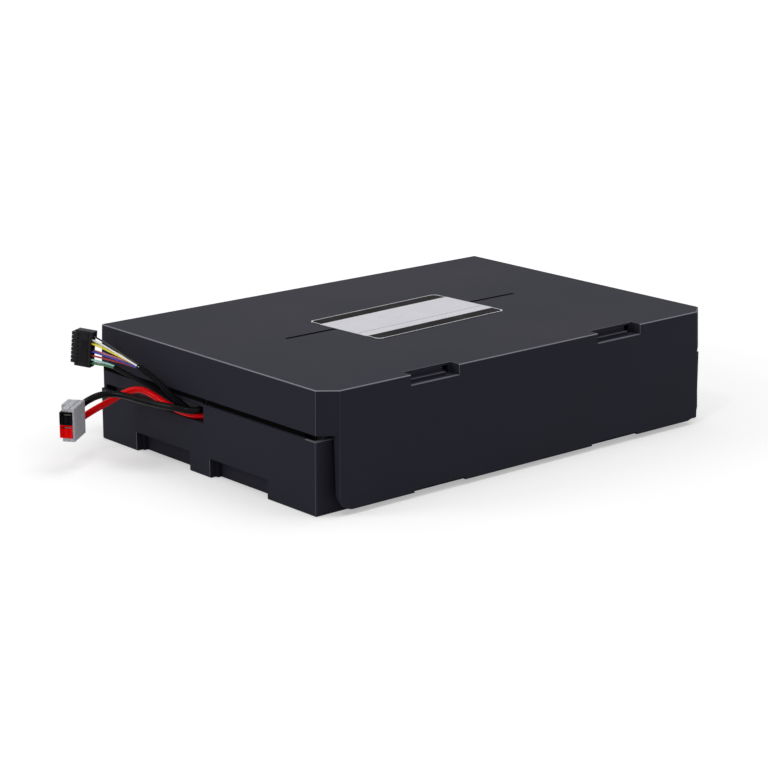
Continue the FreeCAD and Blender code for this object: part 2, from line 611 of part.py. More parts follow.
LOWER_SLEEVE = [from_window(*p) for p in (
    (-73.0, 11.8, 21.8), (-62.6, 11.0, 20.0), (-52.4, 9.4, 17.9), (-43.4, 6.4, 14.8), (-37.4, 2.0, 11.3),
    (-24.4, -2.0, 4.5), (-19.6, -5.2, -0.5), (-13.8, -6.4, -7.1), (-5.8, -7.0, -10.9))]

# colour: way from below, row (1 is nearer the housing), place around the sleeve's axis or None
UPPER_WIRES = {"black": (7, -1, 90), "white": (6, -1, 30), "yellow": (5, -1, None), "cream": (5, 1, 150),
               "blue": (3, -1, 330), "pink": (3, 1, 210), "red": (2, -1, 270)}
LOWER_WIRES = {"turquoise": (1, -1, 90), "green": (0, -1, 330), "grey": (0, 1, 210)}


def place_power(shape):
    """Turn a power connector part from its own frame, nose at the origin along +X."""
    out = shape.copy()
    out.rotate(V(0, 0, 0), V(0, 0, 1), POWER_HEADING)
    out.translate(POWER_NOSE)
    return out


def power_housing(level):
    """One pole's housing: square sleeve with a stepped, open mating end."""
    z = level * POLE / 2
    half = POLE / 2
    body = box(-POLE_LENGTH, 0, -half, half, z - half, z + half)
    body = body.makeChamfer(POLE_EDGE, [e for e in body.Edges if e.BoundBox.XLength > POLE_LENGTH / 2])
    side = half - POLE_SIDE_WALL
    body = body.cut(box(-POLE_MOUTH, PAST, -side, side, z - half + POLE_BASE_WALL, z + POLE_MOUTH_TOP))
    side = half - POLE_HOOD_WALL
    body = body.cut(box(-POLE_HOOD_CUT, PAST, -side, side, z + POLE_HOOD_WALL, z + half + PAST))
    room_y = CONTACT_WIDTH / 2 + CONTACT_PLAY
    room_z = CONTACT_THICK / 2 + CONTACT_PLAY
    blade_z = z - CONTACT_DROP
    return body.cut(box(-POLE_LENGTH + CONTACT_ROOM_BACK, -CONTACT_ROOM_FRONT, -room_y, room_y,
                        blade_z - room_z, blade_z + room_z))


def power_contact(level):
    """Silvered contact blade of one pole."""
    z = level * POLE / 2 - CONTACT_DROP
    back = -POLE_LENGTH + CONTACT_ROOM_BACK + CONTACT_END_PLAY
    front = -CONTACT_ROOM_FRONT - CONTACT_END_PLAY
    half_y = CONTACT_WIDTH / 2
    half_z = CONTACT_THICK / 2
    return box(back, front, -half_y, half_y, z - half_z, z + half_z)


def clamp_half(side):
    """Half of the grey clamp; side 1 carries the full right wall, -1 is the short cap."""
    outer_y = POLE / 2 + CLAMP_SIDE
    outer_z = POLE + CLAMP_WALL
    split_y = -POLE / 2 + CLAMP_SPLIT
    back = -CLAMP_BACK - CLAMP_LENGTH
    if side > 0:
        block = box(back, -CLAMP_BACK, split_y, outer_y, -outer_z, outer_z)
    else:
        block = box(back, -CLAMP_CAP_START, -outer_y, split_y - CLAMP_PARTING, -outer_z, outer_z)
    rounded = [e for e in block.Edges if e.BoundBox.XLength > CLAMP_LENGTH / 4
               and abs(e.BoundBox.Center.y) > outer_y - NEAR]
    block = block.makeFillet(CLAMP_EDGE_R, rounded)
    room_y = POLE / 2 + CLAMP_PLAY
    room_z = POLE + CLAMP_PLAY
    return block.cut(box(back - PAST, PAST, -room_y, room_y, -room_z, room_z))


# ---------------------------------------------------------------- signal side
def place_signal(shape):
    """Turn a signal connector part from its own frame, wire end along +X."""
    out = shape.copy()
    out.rotate(V(0, 0, 0), V(0, 1, 0), -SIGNAL_PITCH)
    out.rotate(V(0, 0, 0), V(0, 0, 1), SIGNAL_HEADING)
    out.translate(SIGNAL_CENTRE)
    return out


def signal_point(x, y, z):
    """A point of the signal connector's own frame, in the housing's frame."""
    matrix = FreeCAD.Placement(SIGNAL_CENTRE, FreeCAD.Rotation(V(0, 0, 1), SIGNAL_HEADING)
                               * FreeCAD.Rotation(V(0, 1, 0), -SIGNAL_PITCH))
    return matrix.multVec(V(x, y, z))


def signal_housing():
    """Housing with two rows of eight ways, grooves between them and a wire-end wall."""
    half_l = SIGNAL_LENGTH / 2
    half_t = SIGNAL_THICK / 2
    half_h = SIGNAL_HEIGHT / 2
    body = box(-half_l, half_l, -half_t, half_t, -half_h, half_h)
    body = body.makeChamfer(SIGNAL_EDGE, [e for e in body.Edges if e.BoundBox.XLength > SIGNAL_LENGTH / 2])
    groove = SIGNAL_GROOVE_WIDTH / 2
    mouth_y = SIGNAL_MOUTH_WIDTH / 2
    mouth_z = SIGNAL_MOUTH_HEIGHT / 2
    span = SIGNAL_PITCH_MM * (SIGNAL_WAYS - 1)
    for way in range(SIGNAL_WAYS):
        z = -span / 2 + way * SIGNAL_PITCH_MM
        for row in (-1, 1):
            outside = row * half_t
            inside = row * (half_t - SIGNAL_GROOVE)
            body = body.cut(box(-half_l + SIGNAL_GROOVE_FRONT, -SIGNAL_GROOVE_REAR, min(outside, inside),
                                max(outside, inside), z - groove, z + groove))
            y = row * SIGNAL_THICK / 4
            body = body.cut(box(-half_l - PAST, -half_l + SIGNAL_MOUTH_DEPTH, y - mouth_y, y + mouth_y,
                                z - mouth_z, z + mouth_z))
    return body


def fan_wire(way, row, around, sleeve, ring_radius, run, bulge):
    """Route of one sense wire from its way in the connector to its place in a sleeve's mouth."""
    z = (way - (SIGNAL_WAYS - 1) / 2) * SIGNAL_PITCH_MM
    y = row * SIGNAL_THICK / 4
    start = signal_point(SIGNAL_LENGTH / 2, y, z)
    out = signal_point(SIGNAL_LENGTH / 2 + run, y, z)
    mouth = sleeve[0]
    along = (sleeve[1] - mouth).normalize()
    side = along.cross(V(0, 0, 1)).normalize()
    up = side.cross(along)
    if around is not None:
        angle = math.radians(around)
        mouth = mouth + (side * math.cos(angle) + up * math.sin(angle)) * ring_radius
    near = mouth - along * run
    route = [start, out, near, mouth]
    if bulge:
        route.insert(2, (out + near) * 0.5 + V(0, 0, bulge))
    return route


def sense_boot(sleeves):
    """Shrunk boot where both sleeves end, each in its own hole, and the tap wires begin."""
    boot = Part.makeBox(BOOT_WIDTH, BOOT_LENGTH, BOOT_HEIGHT, BOOT_CORNER)
    boot = boot.makeFillet(BOOT_EDGE_R, [e for e in boot.Edges if e.BoundBox.YLength > BOOT_LENGTH / 2])
    for sleeve in sleeves:
        boot = boot.cut(sleeve)
    return boot


def tap_wires():
    """Three thin wires from the boot to the links between the blocks."""
    taps = []
    places = (barrel_end(-1, False, 1), barrel_end(-1, True, 1), barrel_end(1, False, 1))
    for number, end in enumerate(places):
        side = 1 if end.x < SLOT_X else -1
        x = end.x + side * (LINK_D / 2 + TAP_D / 2 + TAP_PLAY)
        step = TAP_STEP * (number + 1)
        start = BOOT_CORNER + V(step, BOOT_LENGTH, step)
        points = [start, start + V(0, TAP_RUN, 0), V(x, end.y - TAP_RUN, start.z),
                  V(x, end.y, start.z), V(x, end.y, end.z)]
        path, _, _ = cord_path(points)
        ring = Part.Wire(Part.makeCircle(TAP_D / 2, start, V(0, 1, 0)))
        taps.append(path.makePipeShell([ring], True, False))
    return Part.makeCompound(taps)


def foam_strips():
    """Four foam strips stuck under the roof, one over each block."""
    half = FOAM_LENGTH / 2
    strips = []
    for lid_x, out in ((LEFT_LID_X, -1), (RIGHT_LID_X, 1)):
        x = lid_x + out * BLOCK_HEIGHT / 2
        for y in (FRONT_BLOCK_Y, REAR_BLOCK_Y):
            strips.append(box(x - FOAM_WIDTH / 2, x + FOAM_WIDTH / 2, y - half, y + half,
                              BLOCK_TOP_Z + FOAM_CLEAR, ROOF_Z))
    return Part.makeCompound(strips)


def make_label():
    """Label on the roof, a thin sheet with rounded corners."""
    label = rounded_sheet(LABEL_WIDTH, LABEL_LENGTH, LABEL_THICK, LABEL_CORNER_R)
    label.rotate(V(0, 0, 0), V(0, 0, 1), LABEL_TURN)
    label.translate(V(LABEL_X, 0, HOUSING_HEIGHT))
    return label


def make_blocks():
    """The four blocks with their tabs, and the receptacles on the tabs."""
    bays = ((1, -1, False), (2, -1, True), (3, 1, True), (4, 1, False))
    block = block_shape()
    receptacles = []
    for number, row, rear in bays:
        write("battery_%d" % number, placed(block, row, rear))
        tabs = [placed(tab_shape(side), row, rear) for side in (-1, 1)]
        write("battery_%d_tabs" % number, Part.makeCompound(tabs))
        receptacles += [receptacle(row, rear, end) for end in (-1, 1)]
    write("tab_receptacles", Part.makeCompound(receptacles))


def make_links():
    """The three link wires that put the blocks in series."""
    write("link_wire_1_2", loop_wire(barrel_end(-1, False, 1), barrel_end(-1, True, -1), SHORT_LINK_DROP))
    write("link_wire_2_3", loop_wire(barrel_end(-1, True, 1), barrel_end(1, True, 1), CROSS_LINK_DROP))
    write("link_wire_3_4", loop_wire(barrel_end(1, True, -1), barrel_end(1, False, 1), SHORT_LINK_DROP))


def make_power_connector():
    """The stacked two-pole connector and the leads that end in it."""
    write("black_power_lead", make_cord("black_power_lead", BLACK_ROUTE, LEAD_D))
    write("red_power_lead", make_cord("red_power_lead", RED_ROUTE, LEAD_D))
    write("black_power_housing", place_power(power_housing(1)))
    write("red_power_housing", place_power(power_housing(-1)))
    write("power_contacts", place_power(Part.makeCompound([power_contact(1), power_contact(-1)])))
    write("power_clamp", place_power(clamp_half(1)))
    write("power_clamp_cap", place_power(clamp_half(-1)))


def make_signal_loom():
    """The signal connector, its wires and the two sleeves they run into."""
    write("signal_connector", place_signal(signal_housing()))
    upper = make_cord("upper_signal_sleeve", UPPER_SLEEVE, UPPER_SLEEVE_D)
    lower = make_cord("lower_signal_sleeve", LOWER_SLEEVE, LOWER_SLEEVE_D)
    write("upper_signal_sleeve", upper)
    write("lower_signal_sleeve", lower)
    for colour, (way, row, around) in UPPER_WIRES.items():
        name = "signal_wire_" + colour
        route = fan_wire(way, row, around, UPPER_SLEEVE, UPPER_RING_R, UPPER_RUN, UPPER_BULGE)
        write(name, make_cord(name, route, WIRE_D))
    for colour, (way, row, around) in LOWER_WIRES.items():
        name = "signal_wire_" + colour
        route = fan_wire(way, row, around, LOWER_SLEEVE, LOWER_RING_R, LOWER_RUN, 0)
        write(name, make_cord(name, route, WIRE_D))
    write("sense_boot", sense_boot([upper, lower]))
    write("tap_wires", tap_wires())


def make_all():
    """Build and write every part."""
    os.makedirs("parts", exist_ok=True)
    write("cover", make_cover())
    write("tray", make_tray())
    write("top_label", make_label())
    write("foam_strips", foam_strips())
    make_blocks()
    make_links()
    make_power_connector()
    make_signal_loom()


make_all()
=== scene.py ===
import math

import bmesh
import bpy
from mathutils import Matrix, Vector


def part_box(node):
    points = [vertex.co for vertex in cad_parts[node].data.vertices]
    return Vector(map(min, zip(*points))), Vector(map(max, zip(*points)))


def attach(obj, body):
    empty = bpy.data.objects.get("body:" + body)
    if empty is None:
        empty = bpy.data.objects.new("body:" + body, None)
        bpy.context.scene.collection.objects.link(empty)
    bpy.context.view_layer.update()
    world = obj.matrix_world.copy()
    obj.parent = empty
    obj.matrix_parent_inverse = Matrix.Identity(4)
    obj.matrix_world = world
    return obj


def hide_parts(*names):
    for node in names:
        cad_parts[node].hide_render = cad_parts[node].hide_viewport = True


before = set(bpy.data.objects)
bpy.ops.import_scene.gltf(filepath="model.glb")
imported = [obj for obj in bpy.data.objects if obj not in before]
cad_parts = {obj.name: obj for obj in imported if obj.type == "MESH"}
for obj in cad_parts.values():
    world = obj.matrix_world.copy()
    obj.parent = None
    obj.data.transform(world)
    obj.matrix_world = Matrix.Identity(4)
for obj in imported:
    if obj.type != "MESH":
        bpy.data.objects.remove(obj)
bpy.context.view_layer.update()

bl_info = {
    "name": "UPS battery cartridge",
    "version": (1, 0, 0),
    "blender": (4, 5, 0),
    "location": "View3D > Sidebar > Cartridge",
    "description": "Housing plastics, label, power leads, sense loom, connectors and stage of the cartridge",
    "category": "Object",
}

MM = 0.001
ALONG = 0.9  # a face looks along an axis when its normal reaches this
CLOSE = 0.1  # mm within which a face's middle stands at a place

# ------------ places on the housing, mm
FRONT = -158.2  # cable face of the tray
TRAY_RIM = 43.8  # upper edge of the tray
COVER_LIP = 47.3  # lower edge of the cover's short walls
ROOF = 73.3
SKIRT_ROOM = 101.5  # behind the skirt, where the open joint ends
PAST_SIDE = 111.0  # just outside both long sides
CORNER_NORMAL = (0.773, 0.6345, 0.0)  # way the cut corners face, signs left off
WINDOW_CORNER = Vector((-3.2, FRONT, 32.3))  # lower right corner of the cable window
SLOT_X = -4.4
SLOT_HALF_LENGTH = 94.5
NOTCH_LEFTS = (-72.4, 2.4)  # left sides of the two foot notches
NOTCH_TOP = 12.0
POCKET_ENDS = (-57.2, 94.2)  # hooked ends of the two pockets
POCKET_LENGTH = 37.0
POCKET_FLOOR = 67.0
POCKET_BACK = 101.25
LEDGE_FRONT = 104.55
LEDGE_TOP = 69.1
LEDGE_STOP = 6.6  # the ledge ends this far before the hooked end
PAINTED_LINE_WIDTH = 0.35  # width of a painted highlight line


def pocket_lines(end):
    """Lip, hooked end, ledge and back rim of the pocket with its hooked end here, painted as highlight
    lines.
    """
    start = end - POCKET_LENGTH
    lip = ((107.5, start, POCKET_FLOOR - 0.4), (PAST_SIDE, end, POCKET_FLOOR + 0.02))
    hooked_end = ((POCKET_BACK - 0.25, end + 0.03, POCKET_FLOOR - 0.1), (PAST_SIDE, end + PAINTED_LINE_WIDTH, ROOF + 0.1))
    ledge = ((LEDGE_FRONT - PAINTED_LINE_WIDTH, start, LEDGE_TOP - 0.2),
             (LEDGE_FRONT + 0.05, end - LEDGE_STOP, LEDGE_TOP + 0.1))
    back_rim = ((POCKET_BACK - PAINTED_LINE_WIDTH, start, ROOF - 0.1), (POCKET_BACK + 0.05, end, ROOF + 0.1))
    return [lip, hooked_end, ledge, back_rim]


def painted_highlight_places():
    """Low and high corners of the places painted lighter as highlights: notch sides, the rim's corner,
    pocket edges.
    """
    notches = [((left - PAINTED_LINE_WIDTH, FRONT - 0.2, 0.0), (left, FRONT + 0.3, NOTCH_TOP)) for left in NOTCH_LEFTS]
    rim_corner = ((92.0, FRONT - 0.2, TRAY_RIM - 0.4), (101.6, -140.0, TRAY_RIM + 0.1))
    pockets = [line for end in POCKET_ENDS for line in pocket_lines(end)]
    return notches + [rim_corner] + pockets


def painted_shade_places():
    """Low and high corners of the places painted dark as shade: the open joint and the rims of the slot."""
    joint = ((-PAST_SIDE, FRONT - 0.8, TRAY_RIM + 0.15), (SKIRT_ROOM, 0.8 - FRONT, COVER_LIP - 0.05))
    slot_rims = ((SLOT_X - 1.5, -SLOT_HALF_LENGTH - 0.1, ROOF - 0.3),
                 (SLOT_X + 1.5, SLOT_HALF_LENGTH + 0.1, ROOF + 0.1))
    return [joint, slot_rims]


# ------------ label, mm
LABEL_X = -1.1  # middle of the label, left of the middle of the roof
LABEL_TURN = 3.0  # degrees, put on by hand and a little askew
LABEL_FILM = 0.2
OUTLINE_IN = 0.35  # label's edge to the silver outline
OUTLINE_WIDTH = 0.75
RULE_IN = 9.0  # band's edge to the printed rule
RULE_WIDTH = 0.35
CORNER_PIECE = 60.0  # the outline's faces at the label's corners are smaller than this, mm2
CORNER_PIECE_IN = 0.3  # and their middles stand further in than this

# ------------ power connector, mm
# in its own frame the mating end is at the origin and looks along +X
POWER_PLACE = Matrix.Translation(Vector((-58.6, -218.0, 30.3)) * MM) @ Matrix.Rotation(
    math.radians(-51.3), 4, "Z")
POLE = 7.9
POLE_LENGTH = 24.6
POLE_EDGE = 0.3
MOUTH_RIM = 0.8  # wall round the mating mouth
MOUTH_STEP = 0.9  # depth of the mouth's first step
TONGUE_TOP = 1.5  # top of the ribbed tongue, above the pole's middle
TONGUE_GROOVE = (1.3, 1.9)  # one groove on each side of the middle
TONGUE_GROOVE_DEPTH = 0.7
COLLAR = 0.9  # wall round the lead's entry
COLLAR_DEPTH = 1.6
CONTACT_HALF_WIDTH = 2.5
CONTACT_LOW = 1.6  # contact's underside, above the pole's middle
CONTACT_TOP = 2.3
CONTACT_BACK = 8.0  # contact's rear end, from the pole's rear end
CONTACT_TIP = -4.4  # where the contact starts to slope down
CONTACT_EDGE = 0.12

CLAMP_PLAY = 0.05  # between the clamp and the poles
CLAMP_SIDE = 1.3
CLAMP_FLANGE = 2.2
CLAMP_BACK = -21.4
CLAMP_FRONT = -0.4
CLAMP_CAP_FRONT = -8.82
CLAMP_EDGE = 0.22
FLANGE_END = -2.35  # where the body's flanges stop, across the poles
PARTING = 0.2  # open line between body and cap
LATCH_SLIT = (1.9, 2.45)
LATCH_SLIT_DEPTH = 0.7
BODY_GROOVES = (-18.6, -16.2, -13.8)  # rear sides of the finger grooves
CAP_GROOVES = (-17.6, -14.6)
GROOVE_WIDTH = 0.8
GROOVE_DEPTH = 0.35
NOSE_GAP = -3.4  # the upper flange is cut out from here to the front
NOSE_GAP_DEPTH = 0.9

# ------------ sense connector, mm
# in its own frame the wire end looks along +X and the ways are stacked along Z
SENSE_PLACE = (Matrix.Translation(Vector((-101.3, -175.4, 62.7)) * MM)
               @ Matrix.Rotation(math.radians(30.0), 4, "Z") @ Matrix.Rotation(math.radians(5.0), 4, "Y"))
WAYS = 8
WAY_STEP = 2.5
ROW_OFF = 1.5  # middle of a row, from the housing's middle
SENSE_BACK = -4.6  # where the noses stand out of the housing
SENSE_FRONT = 6.2  # wire end
SENSE_HALF_THICK = 3.0
SENSE_EDGE = 0.12
SENSE_WALL = 1.3  # end walls above and below the ways
NOSE_INSET = 0.24  # side of a way to the side of its nose
NOSE_LENGTH = 2.6
NOSE_WALL = 0.4
NOSE_HOLLOW = 2.0
ENTRY_WALL = 0.45
ENTRY_DEPTH = 1.2
LATCH_WINDOW = (-3.6, -0.6)
LATCH_WINDOW_WALL = 0.5
LATCH_WINDOW_DEPTH = 0.6
KEY_LOW = 7.0  # lower side of the keying block
KEY_DEPTH = 1.0
COLLAR_LINE = (4.0, 4.35)
COLLAR_LINE_DEPTH = 0.3

# ------------ cords, mm
# routes from the window's corner: along, out and up
BLACK_ROUTE = (
    (-4.8, -14.8, 7.1), (-5.4, -6.4, 7.0), (-7.8, 1.6, 5.9), (-15.6, 8.0, 7.5), (-28.8, 11.8, 7.6),
    (-44.3, 13.8, 7.4), (-58.3, 15.0, 7.6), (-67.8, 17.8, 7.5), (-73.8, 23.6, 6.5), (-76.2, 30.8, 3.5))
RED_ROUTE = (
    (1.3, -15.4, 3.5), (-2.4, -9.2, 2.3), (-8.0, -4.0, 2.3), (-15.4, 0.4, 3.0), (-24.3, 3.0, 4.6),
    (-34.3, 4.4, 6.8), (-45.3, 5.4, 10.2), (-56.8, 6.4, 10.9), (-66.8, 9.4, 6.9), (-74.8, 15.6, 0.7),
    (-78.4, 23.8, -3.6), (-78.2, 30.8, -5.9))
UPPER_SLEEVE = (
    (-52.9, 8.8, 25.8), (-46.4, 7.6, 23.7), (-39.1, 6.0, 20.0), (-30.8, 4.8, 15.8), (-25.0, 2.6, 10.7),
    (-18.0, -3.6, 4.1), (-12.8, -5.8, -1.5), (-5.8, -7.0, -5.9))
LOWER_SLEEVE = (
    (-73.0, 11.8, 21.8), (-62.6, 11.0, 20.0), (-52.4, 9.4, 17.9), (-43.4, 6.4, 14.8), (-37.4, 2.0, 11.3),
    (-24.4, -2.0, 4.5), (-19.6, -5.2, -0.5), (-13.8, -6.4, -7.1), (-5.8, -7.0, -10.9))
# where each lead leaves its tab receptacle, and its first steps: straight down, then forward and down
BLACK_BARREL = Vector((-8.1, -134.1, 47.8))
BLACK_HANG = (3.2, 2.8, 3.4)
RED_BARREL = Vector((-0.2, -134.1, 47.8))
RED_HANG = (3.6, 2.8, 4.6)
BLACK_LEAD_RUN = 5.2  # last straight run behind the pole
RED_LEAD_RUN = 5.4
LEAD_SUNK = 1.2  # how far a lead reaches into its pole

# sense wires: colour, way from below, row, place round the sleeve's mouth in degrees, insulation
UPPER_WIRES = (
    ("black", 7, -1, 90, "141416"), ("white", 6, -1, 30, "ffffff"), ("yellow", 5, -1, None, "ffe816"),
    ("cream", 5, 1, 150, "f0ea8c"), ("blue", 3, -1, 330, "2338b0"), ("pink", 3, 1, 210, "ee8c9c"),
    ("red", 2, -1, 270, "b01a20"))
LOWER_WIRES = (
    ("turquoise", 1, -1, 90, "a6e2dc"), ("green", 0, -1, 330, "2f7a4c"), ("grey", 0, 1, 210, "c2c4c6"))
UPPER_RING = 1.14  # six wires stand round a seventh in the upper sleeve's mouth
LOWER_RING = 0.68  # three wires stand together in the lower one
WIRE_START = 5.4  # inside the connector's wire entry
WIRE_RUN = 3.0  # straight run at both ends of a wire
WIRE_SUNK = 2.0  # how far a wire reaches into its sleeve

# ------------ stage, metres, watts and degrees
FLOOR_SIZE = 12.0
GLOW_NEAR = (0.3, 0.4)  # distance from the cartridge, and the floor's own glow there
GLOW_FAR = (1.2, 0.7)
ROOM_LIGHT = 0.44  # what the room lights with; the eye and reflections see plain white
# name, place, point aimed at, size and power
LAMPS = (("overhead", (0.25, 0.35, 1.5), (0, 0, 0.03), 1.1, 7.0),
         ("front_left", (-0.7, -1.5, 0.9), (0, -0.1, 0.03), 0.7, 6.6),
         ("kicker", (0.35, -0.7, 1.2), (-0.04, -0.17, 0.04), 0.12, 1.3))
CAMERA_PLACE = (1.08465, -0.95683, 0.41484)
CAMERA_DOWN = 14.9194
CAMERA_TURN = 49.1986
CAMERA_LENS = 111.37  # mm
SENSOR_WIDTH = 36.0  # mm


# ------------ nodes and colours
def linear(code):
    """Linear colour of an sRGB hex code."""
    channels = [int(code[i:i + 2], 16) / 255 for i in (0, 2, 4)]
    return [c / 12.92 if c <= 0.04045 else ((c + 0.055) / 1.055) ** 2.4 for c in channels] + [1.0]


def shaded(colour, by):
    """Linear colour made darker or lighter by a factor."""
    return [min(1.0, c * by) for c in colour[:3]] + [1.0]


def add(tree, kind, inputs=None, stops=(), **settings):
    """Add a node with its settings; an input is a value, or the output it is linked from.

    A colour ramp is also given its two stops, each a place and a colour.
    """
    made = tree.nodes.new(kind)
    for name, value in settings.items():
        setattr(made, name, value)
    for number, (place, colour) in enumerate(stops):
        made.color_ramp.elements[number].position = place
        made.color_ramp.elements[number].color = colour
    for name, value in (inputs or {}).items():
        if isinstance(value, bpy.types.NodeSocket):
            tree.links.new(value, made.inputs[name])
        else:
            made.inputs[name].default_value = value
    return made


def new_material(name):
    """Empty material, its tree, and the Object coordinates in it."""
    made = bpy.data.materials.new(name)
    made.use_nodes = True
    made.node_tree.nodes.clear()
    return made, made.node_tree, add(made.node_tree, "ShaderNodeTexCoord").outputs["Object"]


# ------------ materials
def within(tree, space, boxes):
    """1 inside any of the boxes (low and high corner in mm), 0 elsewhere."""
    inside = None
    for low, high in boxes:
        middle = [(p + q) / 2 * MM for p, q in zip(low, high)]
        half = [(q - p) / 2 * MM for p, q in zip(low, high)]
        off = add(tree, "ShaderNodeVectorMath", {0: space, 1: middle}, operation="SUBTRACT")
        off = add(tree, "ShaderNodeVectorMath", {0: off.outputs[0]}, operation="ABSOLUTE")
        past = add(tree, "ShaderNodeVectorMath", {0: off.outputs[0], 1: half}, operation="SUBTRACT")
        found = add(tree, "ShaderNodeMath", {0: largest(tree, past.outputs[0]), 1: 0.0},
                    operation="LESS_THAN").outputs[0]
        if inside is not None:
            found = add(tree, "ShaderNodeMath", {0: inside, 1: found}, operation="MAXIMUM").outputs[0]
        inside = found
    return inside


def largest(tree, vector):
    """Largest of a vector's three parts."""
    parts = add(tree, "ShaderNodeSeparateXYZ", {0: vector})
    most = add(tree, "ShaderNodeMath", {0: parts.outputs["X"], 1: parts.outputs["Y"]}, operation="MAXIMUM")
    most = add(tree, "ShaderNodeMath", {0: most.outputs[0], 1: parts.outputs["Z"]}, operation="MAXIMUM")
    return most.outputs[0]


def moulded_housing(name, colour, edge_highlight_colour, edge_highlight_share):
    """Moulded flame-retardant ABS: matt and nearly black, with painted highlights on its edges and painted
    shade in the open joint.
    """
    made, tree, space = new_material(name)
    # slow change of tone from the melt's flow, 110 mm across
    flow = add(tree, "ShaderNodeTexNoise", {"Vector": space, "Scale": 1 / (110 * MM), "Detail": 3.0,
                                            "Roughness": 0.5})
    body = add(tree, "ShaderNodeValToRGB", {"Fac": flow.outputs["Fac"]},
               stops=((0.3, shaded(colour, 0.92)), (0.7, shaded(colour, 1.08))))
    # painted highlight: the radius of an edge is where the surface faces neither along an axis nor along a
    # cut corner, and it is painted lighter there
    facing = add(tree, "ShaderNodeNewGeometry").outputs["Normal"]
    size = add(tree, "ShaderNodeVectorMath", {0: facing}, operation="ABSOLUTE").outputs[0]
    corner = add(tree, "ShaderNodeVectorMath", {0: size, 1: CORNER_NORMAL}, operation="DOT_PRODUCT")
    most = add(tree, "ShaderNodeMath", {0: largest(tree, size), 1: corner.outputs["Value"]},
               operation="MAXIMUM")
    edge = add(tree, "ShaderNodeMapRange", {"Value": most.outputs[0], "From Min": 0.97, "From Max": 0.86,
                                            "To Min": 0.0, "To Max": edge_highlight_share})
    # edges that look down get no painted highlight
    upward = add(tree, "ShaderNodeSeparateXYZ", {0: facing})
    above = add(tree, "ShaderNodeMath", {0: upward.outputs["Z"], 1: -0.05}, operation="GREATER_THAN")
    painted_highlight = add(tree, "ShaderNodeMath", {0: edge.outputs[0], 1: above.outputs[0]}, operation="MULTIPLY")
    # painted highlight lines along the notch sides, the rim's corner and the pocket lips
    line = add(tree, "ShaderNodeMath", {0: within(tree, space, painted_highlight_places()), 1: edge_highlight_share * 0.6},
               operation="MULTIPLY")
    painted_highlight = add(tree, "ShaderNodeMath", {0: painted_highlight.outputs[0], 1: line.outputs[0]}, operation="MAXIMUM")
    # the body colour with the painted highlights mixed in
    wear_and_highlight = add(tree, "ShaderNodeMix", {"Factor": painted_highlight.outputs[0], 6: body.outputs["Color"],
                                         7: edge_highlight_colour}, data_type="RGBA")
    # painted shade: the open joint and the rims of the slot are painted near-black
    painted_shade = within(tree, space, painted_shade_places())
    tone = add(tree, "ShaderNodeMix", {"Factor": painted_shade, 6: wear_and_highlight.outputs[2], 7: linear("030304")},
               data_type="RGBA")
    # spark-eroded grain is 0.15 mm; drawn at 0.8 mm, as coarse as it needs to show
    grain = add(tree, "ShaderNodeTexNoise", {"Vector": space, "Scale": 1 / (0.8 * MM), "Detail": 2.0,
                                             "Roughness": 0.6})
    matt = add(tree, "ShaderNodeMapRange", {"Value": flow.outputs["Fac"], "From Min": 0.3, "From Max": 0.7,
                                            "To Min": 0.56, "To Max": 0.62})
    # fully matt where the shade is painted
    dull = add(tree, "ShaderNodeMath", {0: matt.outputs[0], 1: painted_shade}, operation="ADD", use_clamp=True)
    bump = add(tree, "ShaderNodeBump", {"Height": grain.outputs["Fac"], "Strength": 0.12,
                                        "Distance": 0.05 * MM})
    shader = add(tree, "ShaderNodeBsdfPrincipled", {"Base Color": tone.outputs[2],
                                                    "Roughness": dull.outputs[0], "IOR": 1.52,
                                                    "Specular IOR Level": 0.05,
                                                    "Normal": bump.outputs["Normal"]})
    add(tree, "ShaderNodeOutputMaterial", {"Surface": shader.outputs["BSDF"]})
    return made


def moulded_plastic(name, colour, roughness, specular, fleck_mm, fleck):
    """Small moulded plastic part: even sheen, slight flow marks, and flecks where the surface is rough."""
    made, tree, space = new_material(name)
    flecks = add(tree, "ShaderNodeTexNoise", {"Vector": space, "Scale": 1 / (fleck_mm * MM), "Detail": 4.0,
                                              "Roughness": 0.65})
    # flow marks are about 6 mm across on parts of this size
    flow = add(tree, "ShaderNodeTexNoise", {"Vector": space, "Scale": 1 / (6 * MM), "Detail": 2.0})
    tone = add(tree, "ShaderNodeValToRGB", {"Fac": flecks.outputs["Fac"]},
               stops=((0.3, shaded(colour, 1 - fleck)), (0.7, shaded(colour, 1 + fleck))))
    gloss = add(tree, "ShaderNodeMapRange", {"Value": flow.outputs["Fac"], "From Min": 0.3, "From Max": 0.7,
                                             "To Min": roughness - 0.05, "To Max": roughness + 0.05})
    bump = add(tree, "ShaderNodeBump", {"Height": flecks.outputs["Fac"], "Strength": 0.2,
                                        "Distance": 0.05 * MM})
    shader = add(tree, "ShaderNodeBsdfPrincipled", {"Base Color": tone.outputs["Color"],
                                                    "Roughness": gloss.outputs[0],
                                                    "IOR": 1.53, "Specular IOR Level": specular,
                                                    "Normal": bump.outputs["Normal"]})
    add(tree, "ShaderNodeOutputMaterial", {"Surface": shader.outputs["BSDF"]})
    return made


